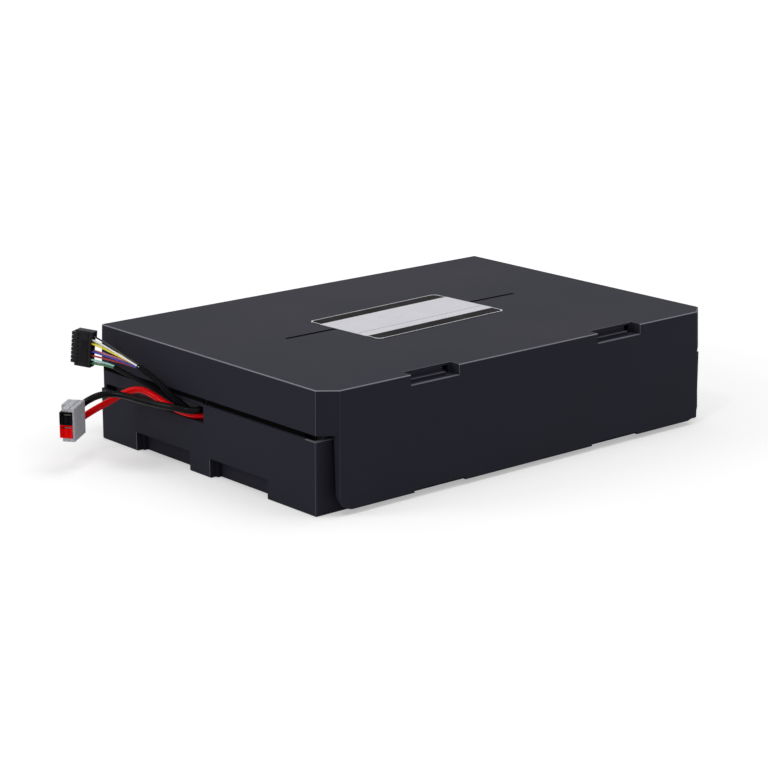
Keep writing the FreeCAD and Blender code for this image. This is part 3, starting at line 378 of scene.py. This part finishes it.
def wire_insulation(name, colour, roughness, specular):
    """Extruded insulation: smooth and satin, with faint rubbed places every few millimetres."""
    made, tree, space = new_material(name)
    wear_and_highlight = add(tree, "ShaderNodeTexNoise", {"Vector": space, "Scale": 1 / (9 * MM), "Detail": 4.0,
                                              "Roughness": 0.6})
    # drawing marks are about 0.2 mm; drawn at 1.2 mm, as coarse as they need to show
    drawn = add(tree, "ShaderNodeTexNoise", {"Vector": space, "Scale": 1 / (1.2 * MM), "Detail": 2.0})
    tone = add(tree, "ShaderNodeValToRGB", {"Fac": wear_and_highlight.outputs["Fac"]},
               stops=((0.3, shaded(colour, 0.86)), (0.7, shaded(colour, 1.1))))
    gloss = add(tree, "ShaderNodeMapRange", {"Value": wear_and_highlight.outputs["Fac"], "From Min": 0.3,
                                             "From Max": 0.7, "To Min": roughness - 0.05,
                                             "To Max": roughness + 0.06})
    bump = add(tree, "ShaderNodeBump", {"Height": drawn.outputs["Fac"], "Strength": 0.1,
                                        "Distance": 0.04 * MM})
    shader = add(tree, "ShaderNodeBsdfPrincipled", {"Base Color": tone.outputs["Color"],
                                                    "Roughness": gloss.outputs[0],
                                                    "IOR": 1.45, "Specular IOR Level": specular,
                                                    "Normal": bump.outputs["Normal"]})
    add(tree, "ShaderNodeOutputMaterial", {"Surface": shader.outputs["BSDF"]})
    return made


def plated_metal(name, colour, roughness):
    """Tinned or silvered contact: bright, with rolled lines 0.5 mm apart."""
    made, tree, space = new_material(name)
    lines = add(tree, "ShaderNodeTexNoise", {"Vector": space, "Scale": 1 / (0.5 * MM), "Detail": 2.0})
    tone = add(tree, "ShaderNodeValToRGB", {"Fac": lines.outputs["Fac"]},
               stops=((0.2, shaded(colour, 0.7)), (0.8, colour)))
    gloss = add(tree, "ShaderNodeMapRange", {"Value": lines.outputs["Fac"], "To Min": roughness - 0.08,
                                             "To Max": roughness + 0.08})
    shader = add(tree, "ShaderNodeBsdfPrincipled", {"Base Color": tone.outputs["Color"], "Metallic": 1.0,
                                                    "Roughness": gloss.outputs[0]})
    add(tree, "ShaderNodeOutputMaterial", {"Surface": shader.outputs["BSDF"]})
    return made


def open_cell_foam(name, colour):
    """Polyurethane foam strip: matt, pitted by cells 1 mm across."""
    made, tree, space = new_material(name)
    cells = add(tree, "ShaderNodeTexVoronoi", {"Vector": space, "Scale": 1 / (1.0 * MM)})
    tone = add(tree, "ShaderNodeValToRGB", {"Fac": cells.outputs["Distance"]},
               stops=((0.1, shaded(colour, 0.5)), (0.6, colour)))
    bump = add(tree, "ShaderNodeBump", {"Height": cells.outputs["Distance"], "Strength": 0.6,
                                        "Distance": 0.4 * MM})
    shader = add(tree, "ShaderNodeBsdfPrincipled", {"Base Color": tone.outputs["Color"], "Roughness": 0.95,
                                                    "Normal": bump.outputs["Normal"]})
    add(tree, "ShaderNodeOutputMaterial", {"Surface": shader.outputs["BSDF"]})
    return made


def printed_film(name, colour, roughness, metallic, specular):
    """Polyester label film: satin, faintly brushed along the label, with the odd handling mark."""
    made, tree, space = new_material(name)
    # brushed lines are about 0.1 mm apart; drawn at 0.7 mm, as coarse as they need to show
    drawn = add(tree, "ShaderNodeMapping", {"Vector": space, "Scale": (1.0, 0.06, 1.0)})
    brushed = add(tree, "ShaderNodeTexNoise", {"Vector": drawn.outputs[0], "Scale": 1 / (0.7 * MM),
                                               "Detail": 3.0})
    marks = add(tree, "ShaderNodeTexNoise", {"Vector": space, "Scale": 1 / (14 * MM), "Detail": 4.0})
    tone = add(tree, "ShaderNodeValToRGB", {"Fac": brushed.outputs["Fac"]},
               stops=((0.3, shaded(colour, 0.93)), (0.7, shaded(colour, 1.05))))
    gloss = add(tree, "ShaderNodeMapRange", {"Value": marks.outputs["Fac"], "From Min": 0.3, "From Max": 0.7,
                                             "To Min": roughness - 0.05, "To Max": roughness + 0.08})
    shader = add(tree, "ShaderNodeBsdfPrincipled", {"Base Color": tone.outputs["Color"],
                                                    "Roughness": gloss.outputs[0],
                                                    "Metallic": metallic, "Specular IOR Level": specular})
    add(tree, "ShaderNodeOutputMaterial", {"Surface": shader.outputs["BSDF"]})
    return made


def seen_directly(tree):
    """1 where the eye, a reflection or a clear part looks at the surface, 0 where it only gives light."""
    path = add(tree, "ShaderNodeLightPath")
    seen = add(tree, "ShaderNodeMath", {0: path.outputs["Is Camera Ray"], 1: path.outputs["Is Glossy Ray"]},
               operation="MAXIMUM")
    return add(tree, "ShaderNodeMath", {0: seen.outputs[0], 1: path.outputs["Is Transmission Ray"]},
               operation="MAXIMUM").outputs[0]


def matt_floor(name):
    """Matt white floor, brighter away from the cartridge, so that it runs out into the background."""
    made, tree, space = new_material(name)
    away = add(tree, "ShaderNodeVectorMath", {0: space}, operation="LENGTH")
    far = add(tree, "ShaderNodeMapRange", {"Value": away.outputs["Value"],
                                           "From Min": GLOW_NEAR[0], "From Max": GLOW_FAR[0],
                                           "To Min": GLOW_NEAR[1], "To Max": GLOW_FAR[1]})
    glow = add(tree, "ShaderNodeMath", {0: seen_directly(tree), 1: far.outputs[0]}, operation="MULTIPLY")
    matt = add(tree, "ShaderNodeBsdfDiffuse", {"Color": linear("e4e4e4")})
    lift = add(tree, "ShaderNodeEmission", {"Color": linear("ffffff"), "Strength": glow.outputs[0]})
    both = add(tree, "ShaderNodeAddShader", {0: matt.outputs[0], 1: lift.outputs[0]})
    add(tree, "ShaderNodeOutputMaterial", {"Surface": both.outputs[0]})
    return made


# ------------ modelling
def deselect():
    """Nothing selected, out of edit mode."""
    if bpy.context.object and bpy.context.object.mode != "OBJECT":
        bpy.ops.object.mode_set(mode="OBJECT")
    bpy.ops.object.select_all(action="DESELECT")


def start_block(name, low, high):
    """Block between two corners in mm, in edit mode."""
    deselect()
    middle = [(a + b) / 2 * MM for a, b in zip(low, high)]
    size = [(b - a) * MM for a, b in zip(low, high)]
    bpy.ops.mesh.primitive_cube_add(size=1.0, location=middle, scale=size)
    piece = bpy.context.object
    piece.name = name
    piece.data.name = name
    bpy.ops.object.transform_apply(location=True, rotation=True, scale=True)
    bpy.ops.object.mode_set(mode="EDIT")
    return piece


def pick(piece, test):
    """Select the faces whose middle in mm and normal pass the test."""
    bpy.ops.mesh.select_mode(type="FACE")
    bpy.ops.mesh.select_all(action="DESELECT")
    mesh = bmesh.from_edit_mesh(piece.data)
    found = [face for face in mesh.faces if test(face.calc_center_median() / MM, face.normal)]
    if not found:
        raise RuntimeError(piece.name + ": no face where one is shaped")
    for face in found:
        face.select_set(True)
    bmesh.update_edit_mesh(piece.data)


def cut_at(axis, places):
    """Cut the whole piece by planes across an axis, at places in mm."""
    for place in places:
        point = Vector((0, 0, 0))
        point[axis] = place * MM
        normal = Vector((0, 0, 0))
        normal[axis] = 1
        bpy.ops.mesh.select_all(action="SELECT")
        bpy.ops.mesh.bisect(plane_co=point, plane_no=normal)


def inset(width, each=False):
    """Inset what is selected by a width in mm, as one patch or each face by itself."""
    bpy.ops.mesh.inset(thickness=width * MM, use_individual=each)


def push(x=0.0, y=0.0, z=0.0):
    """Extrude what is selected by a move in mm."""
    bpy.ops.mesh.extrude_region_move(TRANSFORM_OT_translate={"value": (x * MM, y * MM, z * MM)})


def push_each(depth):
    """Extrude each selected face along its own normal, in mm."""
    bpy.ops.mesh.extrude_faces_move(TRANSFORM_OT_shrink_fatten={"value": depth * MM})


def finish_piece(piece, place, radius, material, node):
    """Merge, round the edges, put the piece in its place and let it stand for its node."""
    bpy.ops.mesh.select_all(action="SELECT")
    bpy.ops.mesh.remove_doubles(threshold=0.001 * MM)
    bpy.ops.mesh.normals_make_consistent(inside=False)
    bpy.ops.object.mode_set(mode="OBJECT")
    if radius:
        rounding = piece.modifiers.new("edges", "BEVEL")
        rounding.width = radius * MM
        rounding.segments = 2
        rounding.limit_method = "ANGLE"
        rounding.angle_limit = math.radians(40)
        bpy.ops.object.modifier_apply(modifier="edges")
    piece.matrix_world = place
    bpy.ops.object.transform_apply(location=True, rotation=True, scale=True)
    bpy.ops.object.shade_smooth_by_angle(angle=math.radians(35))
    if not piece.data.materials:
        piece.data.materials.append(material)
    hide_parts(node)
    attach(piece, "root")


def dress(node, material):
    """Give a node of the frame a material in all of its slots."""
    holder = bpy.data.objects[node]
    if not holder.material_slots:
        holder.data.materials.append(material)
    for slot in holder.material_slots:
        slot.material = material


# ------------ cords
def tube(name, points, diameter, material, node):
    """Round cord along a smooth curve through a route, in place of its node."""
    curve = bpy.data.curves.new(name, "CURVE")
    curve.dimensions = "3D"
    curve.bevel_depth = diameter / 2
    curve.bevel_resolution = 5
    curve.resolution_u = 10
    curve.use_fill_caps = True
    spline = curve.splines.new("NURBS")
    spline.points.add(len(points) - 1)
    for place, point in zip(spline.points, points):
        place.co = (*point, 1.0)
    spline.order_u = 3
    spline.use_endpoint_u = True
    made = bpy.data.objects.new(name, curve)
    bpy.context.scene.collection.objects.link(made)
    made.data.materials.append(material)
    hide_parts(node)
    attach(made, "root")
    return made


def line_length(piece):
    """Length of a cord's own line, in metres."""
    bare = piece.data.copy()
    bare.bevel_depth = 0
    holder = bpy.data.objects.new("line", bare)
    mesh = bpy.data.meshes.new_from_object(holder)
    total = sum((mesh.vertices[a].co - mesh.vertices[b].co).length for a, b in
                (edge.vertices for edge in mesh.edges))
    bpy.data.objects.remove(holder)
    bpy.data.curves.remove(bare)
    bpy.data.meshes.remove(mesh)
    return total


def from_window(along, out, up):
    """Point in metres, measured in mm from the cable window's lower right corner."""
    return (WINDOW_CORNER + Vector((along, -out, up))) * MM


def hung(barrel, first, back, fall):
    """First three points of a lead under its barrel, in metres."""
    below = barrel - Vector((0, 0, first))
    return [barrel * MM, below * MM, (below - Vector((0, back, fall))) * MM]


def power_point(level, back):
    """Point on a lead's last straight run into its pole, in metres."""
    return POWER_PLACE @ (Vector((-POLE_LENGTH - back, 0, level * POLE / 2)) * MM)


def fan_points(way, row, around, sleeve, ring):
    """Route of one sense wire from its way in the connector to the sleeve's mouth, in metres."""
    level = (way - (WAYS - 1) / 2) * WAY_STEP
    start = SENSE_PLACE @ (Vector((WIRE_START, row * ROW_OFF, level)) * MM)
    out = SENSE_PLACE @ (Vector((WIRE_START + WIRE_RUN, row * ROW_OFF, level)) * MM)
    mouth = from_window(*sleeve[0])
    along = (from_window(*sleeve[1]) - mouth).normalized()
    side = along.cross(Vector((0, 0, 1))).normalized()
    up = side.cross(along)
    if around is not None:
        angle = math.radians(around)
        mouth = mouth + (side * math.cos(angle) + up * math.sin(angle)) * ring * MM
    return [start, out, mouth - along * WIRE_RUN * MM, mouth + along * WIRE_SUNK * MM]


# ------------ sizes and colours
def size_property(name, about, default_mm):
    """Length that a user can set, with its default in mm."""
    return bpy.props.FloatProperty(name=name, description=about, default=default_mm * MM, unit="LENGTH",
                                   subtype="DISTANCE")


def colour_property(name, about, code):
    """Colour that a user can set, with its default as an sRGB hex code."""
    return bpy.props.FloatVectorProperty(name=name, description=about, default=linear(code), size=4,
                                         subtype="COLOR", min=0.0, max=1.0)


class CartridgeSizes(bpy.types.PropertyGroup):
    """Sizes of the pieces that are modelled here."""
    label_width: size_property("Label width", "Across the label, over the slot", 64.0)
    label_length: size_property("Label length", "Along the label", 110.5)
    label_radius: size_property("Label corners", "Radius of the label's corners", 5.0)
    band_width: size_property("Silver band", "Width of the bare silver band along the middle", 42.0)
    lead_diameter: size_property("Power lead", "Diameter of the power leads over the insulation", 4.2)
    wire_diameter: size_property("Sense wire", "Diameter of a sense wire", 1.1)
    upper_sleeve: size_property("Upper sleeve", "Diameter of the sleeve round seven sense wires", 3.4)
    lower_sleeve: size_property("Lower sleeve", "Diameter of the sleeve round three sense wires", 2.8)
    mouth_depth: size_property("Pole mouth", "Depth of a power pole's mating mouth", 8.6)


class CartridgeColours(bpy.types.PropertyGroup):
    """Colours of the plastics, films and insulation."""
    housing: colour_property("Housing", "Tray and cover", "282832")
    # colour of the painted highlights on the edges and lines of tray and cover
    edge: colour_property("Rubbed edge", "Edges of tray and cover", "b8b8c0")
    silver: colour_property("Label silver", "Bare band and outline of the label", "cfcfd6")
    ink: colour_property("Label ink", "Printed fields of the label", "100b0b")
    black_lead: colour_property("Black lead", "Insulation of the negative lead", "08080b")
    red_lead: colour_property("Red lead", "Insulation of the positive lead", "fc020a")
    clamp: colour_property("Clamp", "Grey clamp of the power connector", "b4b4bc")
    sleeve: colour_property("Sleeve", "Shrunk sleeve round the sense wires", "0a0a0e")


# ------------ stage
def lay_floor():
    """White floor under the cartridge."""
    deselect()
    bpy.ops.mesh.primitive_grid_add(x_subdivisions=2, y_subdivisions=2, size=FLOOR_SIZE, location=(0, 0, 0))
    floor = bpy.context.object
    floor.name = "floor"
    floor.data.materials.append(matt_floor("matt_white_floor"))


def light_room(scene):
    """Pale room that lights the cartridge softly and looks plain white."""
    world = bpy.data.worlds.new("pale_studio")
    scene.world = world
    world.use_nodes = True
    tree = world.node_tree
    tree.nodes.clear()
    strength = add(tree, "ShaderNodeMapRange", {"Value": seen_directly(tree), "To Min": ROOM_LIGHT,
                                                "To Max": 1.0})
    sky = add(tree, "ShaderNodeBackground", {"Color": linear("ffffff"), "Strength": strength.outputs[0]})
    add(tree, "ShaderNodeOutputWorld", {"Surface": sky.outputs[0]})


def hang_lamps(scene):
    """Square lamps round the cartridge."""
    for name, place, aim, size, power in LAMPS:
        lamp = bpy.data.lights.new(name, "AREA")
        lamp.energy = power
        lamp.size = size
        holder = bpy.data.objects.new(name, lamp)
        scene.collection.objects.link(holder)
        holder.location = place
        holder.rotation_euler = (Vector(aim) - Vector(place)).to_track_quat("-Z", "Y").to_euler()


def place_camera(scene):
    """Camera before the cable face's right corner, looking down on the cartridge."""
    camera = bpy.data.cameras.new("camera")
    camera.sensor_width = SENSOR_WIDTH
    camera.lens = CAMERA_LENS
    holder = bpy.data.objects.new("camera", camera)
    scene.collection.objects.link(holder)
    holder.location = CAMERA_PLACE
    holder.rotation_euler = (math.radians(90 - CAMERA_DOWN), 0, math.radians(CAMERA_TURN))
    scene.camera = holder


class CARTRIDGE_OT_stage(bpy.types.Operator):
    """Floor, light and camera"""
    bl_idname = "cartridge.stage"
    bl_label = "Stage"

    def execute(self, context):
        lay_floor()
        light_room(context.scene)
        hang_lamps(context.scene)
        place_camera(context.scene)
        context.scene.view_settings.view_transform = "Standard"
        return {"FINISHED"}


# ------------ pieces
class CARTRIDGE_OT_plastics(bpy.types.Operator):
    """Materials of the tray, cover and the parts inside"""
    bl_idname = "cartridge.plastics"
    bl_label = "Housing and blocks"

    def execute(self, context):
        kit = context.scene.cartridge_colours
        housing = moulded_housing("moulded_abs_housing", kit.housing, kit.edge, edge_highlight_share=0.5)
        block = moulded_plastic("moulded_abs_block_case", linear("46474a"), roughness=0.5, specular=0.3,
                                fleck_mm=2.0, fleck=0.06)
        nylon = moulded_plastic("natural_nylon_receptacle", linear("c9cbc8"), roughness=0.4, specular=0.4,
                                fleck_mm=2.0, fleck=0.05)
        foam = open_cell_foam("polyurethane_foam", linear("3c3c3e"))
        tab = plated_metal("tinned_brass_tab", linear("d8d4c4"), roughness=0.3)
        link = wire_insulation("black_silicone_link", kit.black_lead, roughness=0.34, specular=0.4)
        tap = wire_insulation("grey_pvc_tap_wire", linear("a8aaac"), roughness=0.4, specular=0.4)
        boot = wire_insulation("moulded_loom_boot", kit.sleeve, roughness=0.5, specular=0.3)
        for node, material in (("cover", housing), ("tray", housing), ("foam_strips", foam),
                               ("tab_receptacles", nylon), ("tap_wires", tap), ("sense_boot", boot),
                               ("link_wire_1_2", link), ("link_wire_2_3", link), ("link_wire_3_4", link)):
            dress(node, material)
        for number in range(1, 5):
            dress("battery_%d" % number, block)
            dress("battery_%d_tabs" % number, tab)
        return {"FINISHED"}


class CARTRIDGE_OT_label(bpy.types.Operator):
    """Label with a bare silver band between two printed fields"""
    bl_idname = "cartridge.label"
    bl_label = "Label"

    def execute(self, context):
        sizes = context.scene.cartridge_sizes
        kit = context.scene.cartridge_colours
        deselect()
        bpy.ops.mesh.primitive_plane_add(size=1.0, location=(0, 0, 0))
        label = context.object
        label.name = "roof_label"
        label.data.name = "roof_label"
        label.scale = (sizes.label_width, sizes.label_length, 1)
        bpy.ops.object.transform_apply(location=True, rotation=True, scale=True)
        bpy.ops.object.mode_set(mode="EDIT")
        bpy.ops.mesh.select_all(action="SELECT")
        bpy.ops.mesh.bevel(offset=sizes.label_radius, segments=8, affect="VERTICES")
        pick(label, lambda middle, normal: True)
        inset(OUTLINE_IN)
        inset(OUTLINE_WIDTH)
        edge = sizes.band_width / 2 / MM
        rule = edge - RULE_IN
        cut_at(0, (-edge, edge, rule, rule + RULE_WIDTH))
        bpy.ops.object.mode_set(mode="OBJECT")
        silver = printed_film("silver_polyester_film", kit.silver, roughness=0.38, metallic=0.15,
                              specular=0.3)
        ink = printed_film("printed_black_film", kit.ink, roughness=0.6, metallic=0.0, specular=0.04)
        label.data.materials.append(silver)
        label.data.materials.append(ink)
        half_x = sizes.label_width / 2 / MM
        half_y = sizes.label_length / 2 / MM
        outline_end = OUTLINE_IN + OUTLINE_WIDTH
        for face in label.data.polygons:
            middle = face.center / MM
            border = min(half_x - abs(middle.x), half_y - abs(middle.y))
            on_band = abs(middle.x) < edge
            on_rule = rule < middle.x < rule + RULE_WIDTH and border > outline_end
            at_corner = face.area < CORNER_PIECE * MM * MM and border > CORNER_PIECE_IN
            on_outline = OUTLINE_IN < border < outline_end or at_corner
            face.material_index = 0 if (on_band and not on_rule) or (on_outline and not on_band) else 1
        film = label.modifiers.new("film", "SOLIDIFY")
        film.thickness = LABEL_FILM * MM
        film.offset = 1.0
        bpy.ops.object.modifier_apply(modifier="film")
        bpy.ops.object.mode_set(mode="EDIT")
        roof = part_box("top_label")[0][2]
        turned = Matrix.Rotation(math.radians(LABEL_TURN), 4, "Z")
        finish_piece(label, Matrix.Translation((LABEL_X * MM, 0, roof)) @ turned, 0, silver, "top_label")
        return {"FINISHED"}


class CARTRIDGE_OT_power_poles(bpy.types.Operator):
    """Black and red poles of the power connector, with their contacts"""
    bl_idname = "cartridge.power_poles"
    bl_label = "Power poles"

    def execute(self, context):
        depth = context.scene.cartridge_sizes.mouth_depth / MM
        half = POLE / 2
        inner, outer = TONGUE_GROOVE
        for name, level, code in (("black", 1, "06070b"), ("red", -1, "f2040a")):
            z = level * half
            top = z + TONGUE_TOP
            pole = start_block(name + "_pole", (-POLE_LENGTH, -half, z - half), (0, half, z + half))
            # mouth, stepped back to a ribbed tongue under the contact's slot
            pick(pole, lambda middle, normal: normal.x > ALONG)
            inset(MOUTH_RIM)
            push(x=-MOUTH_STEP)
            cut_at(2, (top,))
            pick(pole, lambda middle, normal: normal.x > ALONG and abs(middle.x + MOUTH_STEP) < CLOSE
                 and middle.z > top)
            push(x=-depth)
            cut_at(1, (-outer, -inner, inner, outer))
            pick(pole, lambda middle, normal: normal.x > ALONG and abs(middle.x + MOUTH_STEP) < CLOSE
                 and middle.z < top and inner < abs(middle.y) < outer)
            push_each(-TONGUE_GROOVE_DEPTH)
            # lead's entry, stepped in behind a collar
            pick(pole, lambda middle, normal: normal.x < -ALONG)
            inset(COLLAR)
            push(x=COLLAR_DEPTH)
            plastic = moulded_plastic(name + "_polycarbonate_pole", linear(code), roughness=0.4,
                                      specular=0.06, fleck_mm=3.0, fleck=0.06)
            finish_piece(pole, POWER_PLACE, POLE_EDGE, plastic, name + "_power_housing")
            # contact, its tip sloped down in two steps
            blade = start_block(name + "_contact",
                                (-POLE_LENGTH + CONTACT_BACK, -CONTACT_HALF_WIDTH, z + CONTACT_LOW),
                                (CONTACT_TIP, CONTACT_HALF_WIDTH, z + CONTACT_TOP))
            pick(blade, lambda middle, normal: normal.x > ALONG)
            push(x=0.9, z=-0.1)
            push(x=0.5, z=-0.5)
            silvered = plated_metal(name + "_silvered_contact", linear("c8c8c4"), roughness=0.3)
            finish_piece(blade, POWER_PLACE, CONTACT_EDGE, silvered, "power_contacts")
        return {"FINISHED"}


def finger_grooves(piece, starts, side):
    """Grooves for the fingers across a side wall of the clamp, each from its start forward."""
    cut_at(0, [place for start in starts for place in (start, start + GROOVE_WIDTH)])
    pick(piece, lambda middle, normal: normal.y * side > ALONG and abs(middle.z) < POLE + CLAMP_PLAY
         and any(start < middle.x < start + GROOVE_WIDTH for start in starts))
    push_each(-GROOVE_DEPTH)


class CARTRIDGE_OT_power_clamp(bpy.types.Operator):
    """Grey clamp that holds the two poles together, with its short cap"""
    bl_idname = "cartridge.power_clamp"
    bl_label = "Power clamp"

    def execute(self, context):
        grey = moulded_plastic("glass_filled_nylon_clamp", context.scene.cartridge_colours.clamp,
                               roughness=0.5, specular=0.25, fleck_mm=0.8, fleck=0.5)
        inner = POLE / 2 + CLAMP_PLAY
        outer = POLE / 2 + CLAMP_SIDE
        flange = POLE + CLAMP_FLANGE
        room = POLE + CLAMP_PLAY
        slit_low, slit_high = LATCH_SLIT
        body = start_block("clamp_body", (CLAMP_BACK, inner, -flange), (CLAMP_FRONT, outer, flange))
        cut_at(2, (-room, room))
        pick(body, lambda middle, normal: normal.y < -ALONG and abs(middle.z) > room)
        push(y=FLANGE_END - inner)
        # latch slit along each flange, and finger grooves in the wall
        cut_at(1, LATCH_SLIT)
        pick(body, lambda middle, normal: abs(normal.z) > ALONG and abs(middle.z) > flange - CLOSE
             and slit_low < middle.y < slit_high)
        push_each(-LATCH_SLIT_DEPTH)
        finger_grooves(body, BODY_GROOVES, 1)
        # gap over the black pole's nose
        cut_at(0, (NOSE_GAP,))
        pick(body, lambda middle, normal: normal.z < -ALONG and middle.z > POLE and middle.x > NOSE_GAP
             and middle.y < slit_low)
        push(z=NOSE_GAP_DEPTH)
        finish_piece(body, POWER_PLACE, CLAMP_EDGE, grey, "power_clamp")

        cap = start_block("clamp_cap", (CLAMP_BACK, -outer, -flange), (CLAMP_CAP_FRONT, -inner, flange))
        cut_at(2, (-room, room))
        pick(cap, lambda middle, normal: normal.y > ALONG and abs(middle.z) > room)
        push(y=inner + FLANGE_END - PARTING)
        finger_grooves(cap, CAP_GROOVES, -1)
        finish_piece(cap, POWER_PLACE, CLAMP_EDGE, grey, "power_clamp_cap")
        return {"FINISHED"}


class CARTRIDGE_OT_sense_connector(bpy.types.Operator):
    """Sense connector: two rows of eight ways, one pair of ways modelled and repeated"""
    bl_idname = "cartridge.sense_connector"
    bl_label = "Sense connector"

    def execute(self, context):
        half = WAY_STEP / 2
        shell = start_block("sense_connector", (SENSE_BACK, -SENSE_HALF_THICK, -half),
                            (SENSE_FRONT, SENSE_HALF_THICK, half))
        cut_at(1, (0.0,))
        # mating end: a nose for each way, hollow at its mouth
        pick(shell, lambda middle, normal: normal.x < -ALONG)
        inset(NOSE_INSET, each=True)
        push_each(NOSE_LENGTH)
        inset(NOSE_WALL, each=True)
        push_each(-NOSE_HOLLOW)
        # wire end: an entry for each wire
        pick(shell, lambda middle, normal: normal.x > ALONG)
        inset(ENTRY_WALL, each=True)
        push_each(-ENTRY_DEPTH)
        # latch window of each way on both broad sides
        cut_at(0, LATCH_WINDOW)
        pick(shell, lambda middle, normal: abs(normal.y) > ALONG and abs(middle.y) > SENSE_HALF_THICK - CLOSE
             and LATCH_WINDOW[0] < middle.x < LATCH_WINDOW[1])
        inset(LATCH_WINDOW_WALL, each=True)
        push_each(-LATCH_WINDOW_DEPTH)
        bpy.ops.object.mode_set(mode="OBJECT")
        stack = shell.modifiers.new("ways", "ARRAY")
        stack.count = WAYS
        stack.use_relative_offset = False
        stack.use_constant_offset = True
        stack.constant_offset_displace = (0, 0, WAY_STEP * MM)
        stack.use_merge_vertices = True
        stack.merge_threshold = 0.01 * MM
        bpy.ops.object.modifier_apply(modifier="ways")
        shell.location = (0, 0, -(WAYS - 1) / 2 * WAY_STEP * MM)
        bpy.ops.object.transform_apply(location=True, rotation=True, scale=True)
        bpy.ops.object.mode_set(mode="EDIT")
        # end walls above and below the ways
        end = WAYS * half
        for side in (-1, 1):
            pick(shell, lambda middle, normal: normal.z * side > ALONG and middle.z * side > end - CLOSE
                 and middle.x > SENSE_BACK - CLOSE)
            push(z=side * SENSE_WALL)
        # keying block at the top of the wire end, and a fine collar line round the body
        cut_at(2, (KEY_LOW,))
        pick(shell, lambda middle, normal: normal.x > ALONG and middle.z > KEY_LOW
             and middle.x > SENSE_FRONT - CLOSE)
        push(x=KEY_DEPTH)
        cut_at(0, COLLAR_LINE)
        pick(shell, lambda middle, normal: abs(normal.y) > ALONG and abs(middle.y) > SENSE_HALF_THICK - CLOSE
             and COLLAR_LINE[0] < middle.x < COLLAR_LINE[1])
        push_each(-COLLAR_LINE_DEPTH)
        black = moulded_plastic("black_nylon_connector", linear("0f0f14"), roughness=0.5, specular=0.16,
                                fleck_mm=1.5, fleck=0.12)
        finish_piece(shell, SENSE_PLACE, SENSE_EDGE, black, "signal_connector")
        return {"FINISHED"}


class CARTRIDGE_OT_power_leads(bpy.types.Operator):
    """Black and red leads from inside the window to the power connector"""
    bl_idname = "cartridge.power_leads"
    bl_label = "Power leads"

    def execute(self, context):
        diameter = context.scene.cartridge_sizes.lead_diameter
        kit = context.scene.cartridge_colours
        for name, tone, barrel, hang, route, level, run, others in (
                ("black", kit.black_lead, BLACK_BARREL, BLACK_HANG, BLACK_ROUTE, 1, BLACK_LEAD_RUN,
                 ["black_pole", "black_contact", "clamp_body", "clamp_cap"]),
                ("red", kit.red_lead, RED_BARREL, RED_HANG, RED_ROUTE, -1, RED_LEAD_RUN,
                 ["red_pole", "red_contact"])):
            points = hung(barrel, *hang) + [from_window(*place) for place in route]
            points += [power_point(level, run), power_point(level, -LEAD_SUNK)]
            silicone = wire_insulation(name + "_silicone_insulation", tone, roughness=0.22, specular=0.1)
            lead = tube(name + "_lead", points, diameter, silicone, name + "_power_lead")
            line_length(lead)
        return {"FINISHED"}


class CARTRIDGE_OT_sense_loom(bpy.types.Operator):
    """Two sleeves and ten sense wires between the window and the sense connector"""
    bl_idname = "cartridge.sense_loom"
    bl_label = "Sense loom"

    def execute(self, context):
        sizes = context.scene.cartridge_sizes
        shrink = wire_insulation("shrunk_polyolefin_sleeve", context.scene.cartridge_colours.sleeve,
                                 roughness=0.45, specular=0.05)
        for name, route, diameter, wires, ring, others in (
                ("upper", UPPER_SLEEVE, sizes.upper_sleeve, UPPER_WIRES, UPPER_RING, ["sense_connector"]),
                ("lower", LOWER_SLEEVE, sizes.lower_sleeve, LOWER_WIRES, LOWER_RING, [])):
            points = [from_window(*place) for place in reversed(route)]
            sleeve = tube(name + "_sleeve", points, diameter, shrink, name + "_signal_sleeve")
            fan = [bpy.data.objects[other] for other in others]
            for tone, way, row, around, code in wires:
                coating = wire_insulation("pvc_wire_" + tone, linear(code), roughness=0.38, specular=0.4)
                fan.append(tube("sense_wire_" + tone, fan_points(way, row, around, route, ring),
                                sizes.wire_diameter, coating, "signal_wire_" + tone))
            line_length(sleeve)
        return {"FINISHED"}


class CARTRIDGE_PT_panel(bpy.types.Panel):
    """Sizes, colours and the pieces of the cartridge"""
    bl_label = "Cartridge"
    bl_space_type = "VIEW_3D"
    bl_region_type = "UI"
    bl_category = "Cartridge"

    def draw(self, context):
        for group in (context.scene.cartridge_sizes, context.scene.cartridge_colours):
            for name in group.__annotations__:
                self.layout.prop(group, name)
        for operator in OPERATORS:
            self.layout.operator(operator.bl_idname)


OPERATORS = (CARTRIDGE_OT_stage, CARTRIDGE_OT_plastics, CARTRIDGE_OT_label, CARTRIDGE_OT_power_poles,
             CARTRIDGE_OT_power_clamp, CARTRIDGE_OT_sense_connector, CARTRIDGE_OT_power_leads,
             CARTRIDGE_OT_sense_loom)
CLASSES = (CartridgeSizes, CartridgeColours) + OPERATORS + (CARTRIDGE_PT_panel,)


def register():
    for known in CLASSES:
        bpy.utils.register_class(known)
    bpy.types.Scene.cartridge_sizes = bpy.props.PointerProperty(type=CartridgeSizes)
    bpy.types.Scene.cartridge_colours = bpy.props.PointerProperty(type=CartridgeColours)


def unregister():
    del bpy.types.Scene.cartridge_colours
    del bpy.types.Scene.cartridge_sizes
    for known in reversed(CLASSES):
        bpy.utils.unregister_class(known)


def main():
    register()
    bpy.ops.cartridge.stage()
    bpy.ops.cartridge.plastics()
    bpy.ops.cartridge.label()
    bpy.ops.cartridge.power_poles()
    bpy.ops.cartridge.power_clamp()
    bpy.ops.cartridge.sense_connector()
    bpy.ops.cartridge.power_leads()
    bpy.ops.cartridge.sense_loom()


if __name__ == "__main__":
    main()
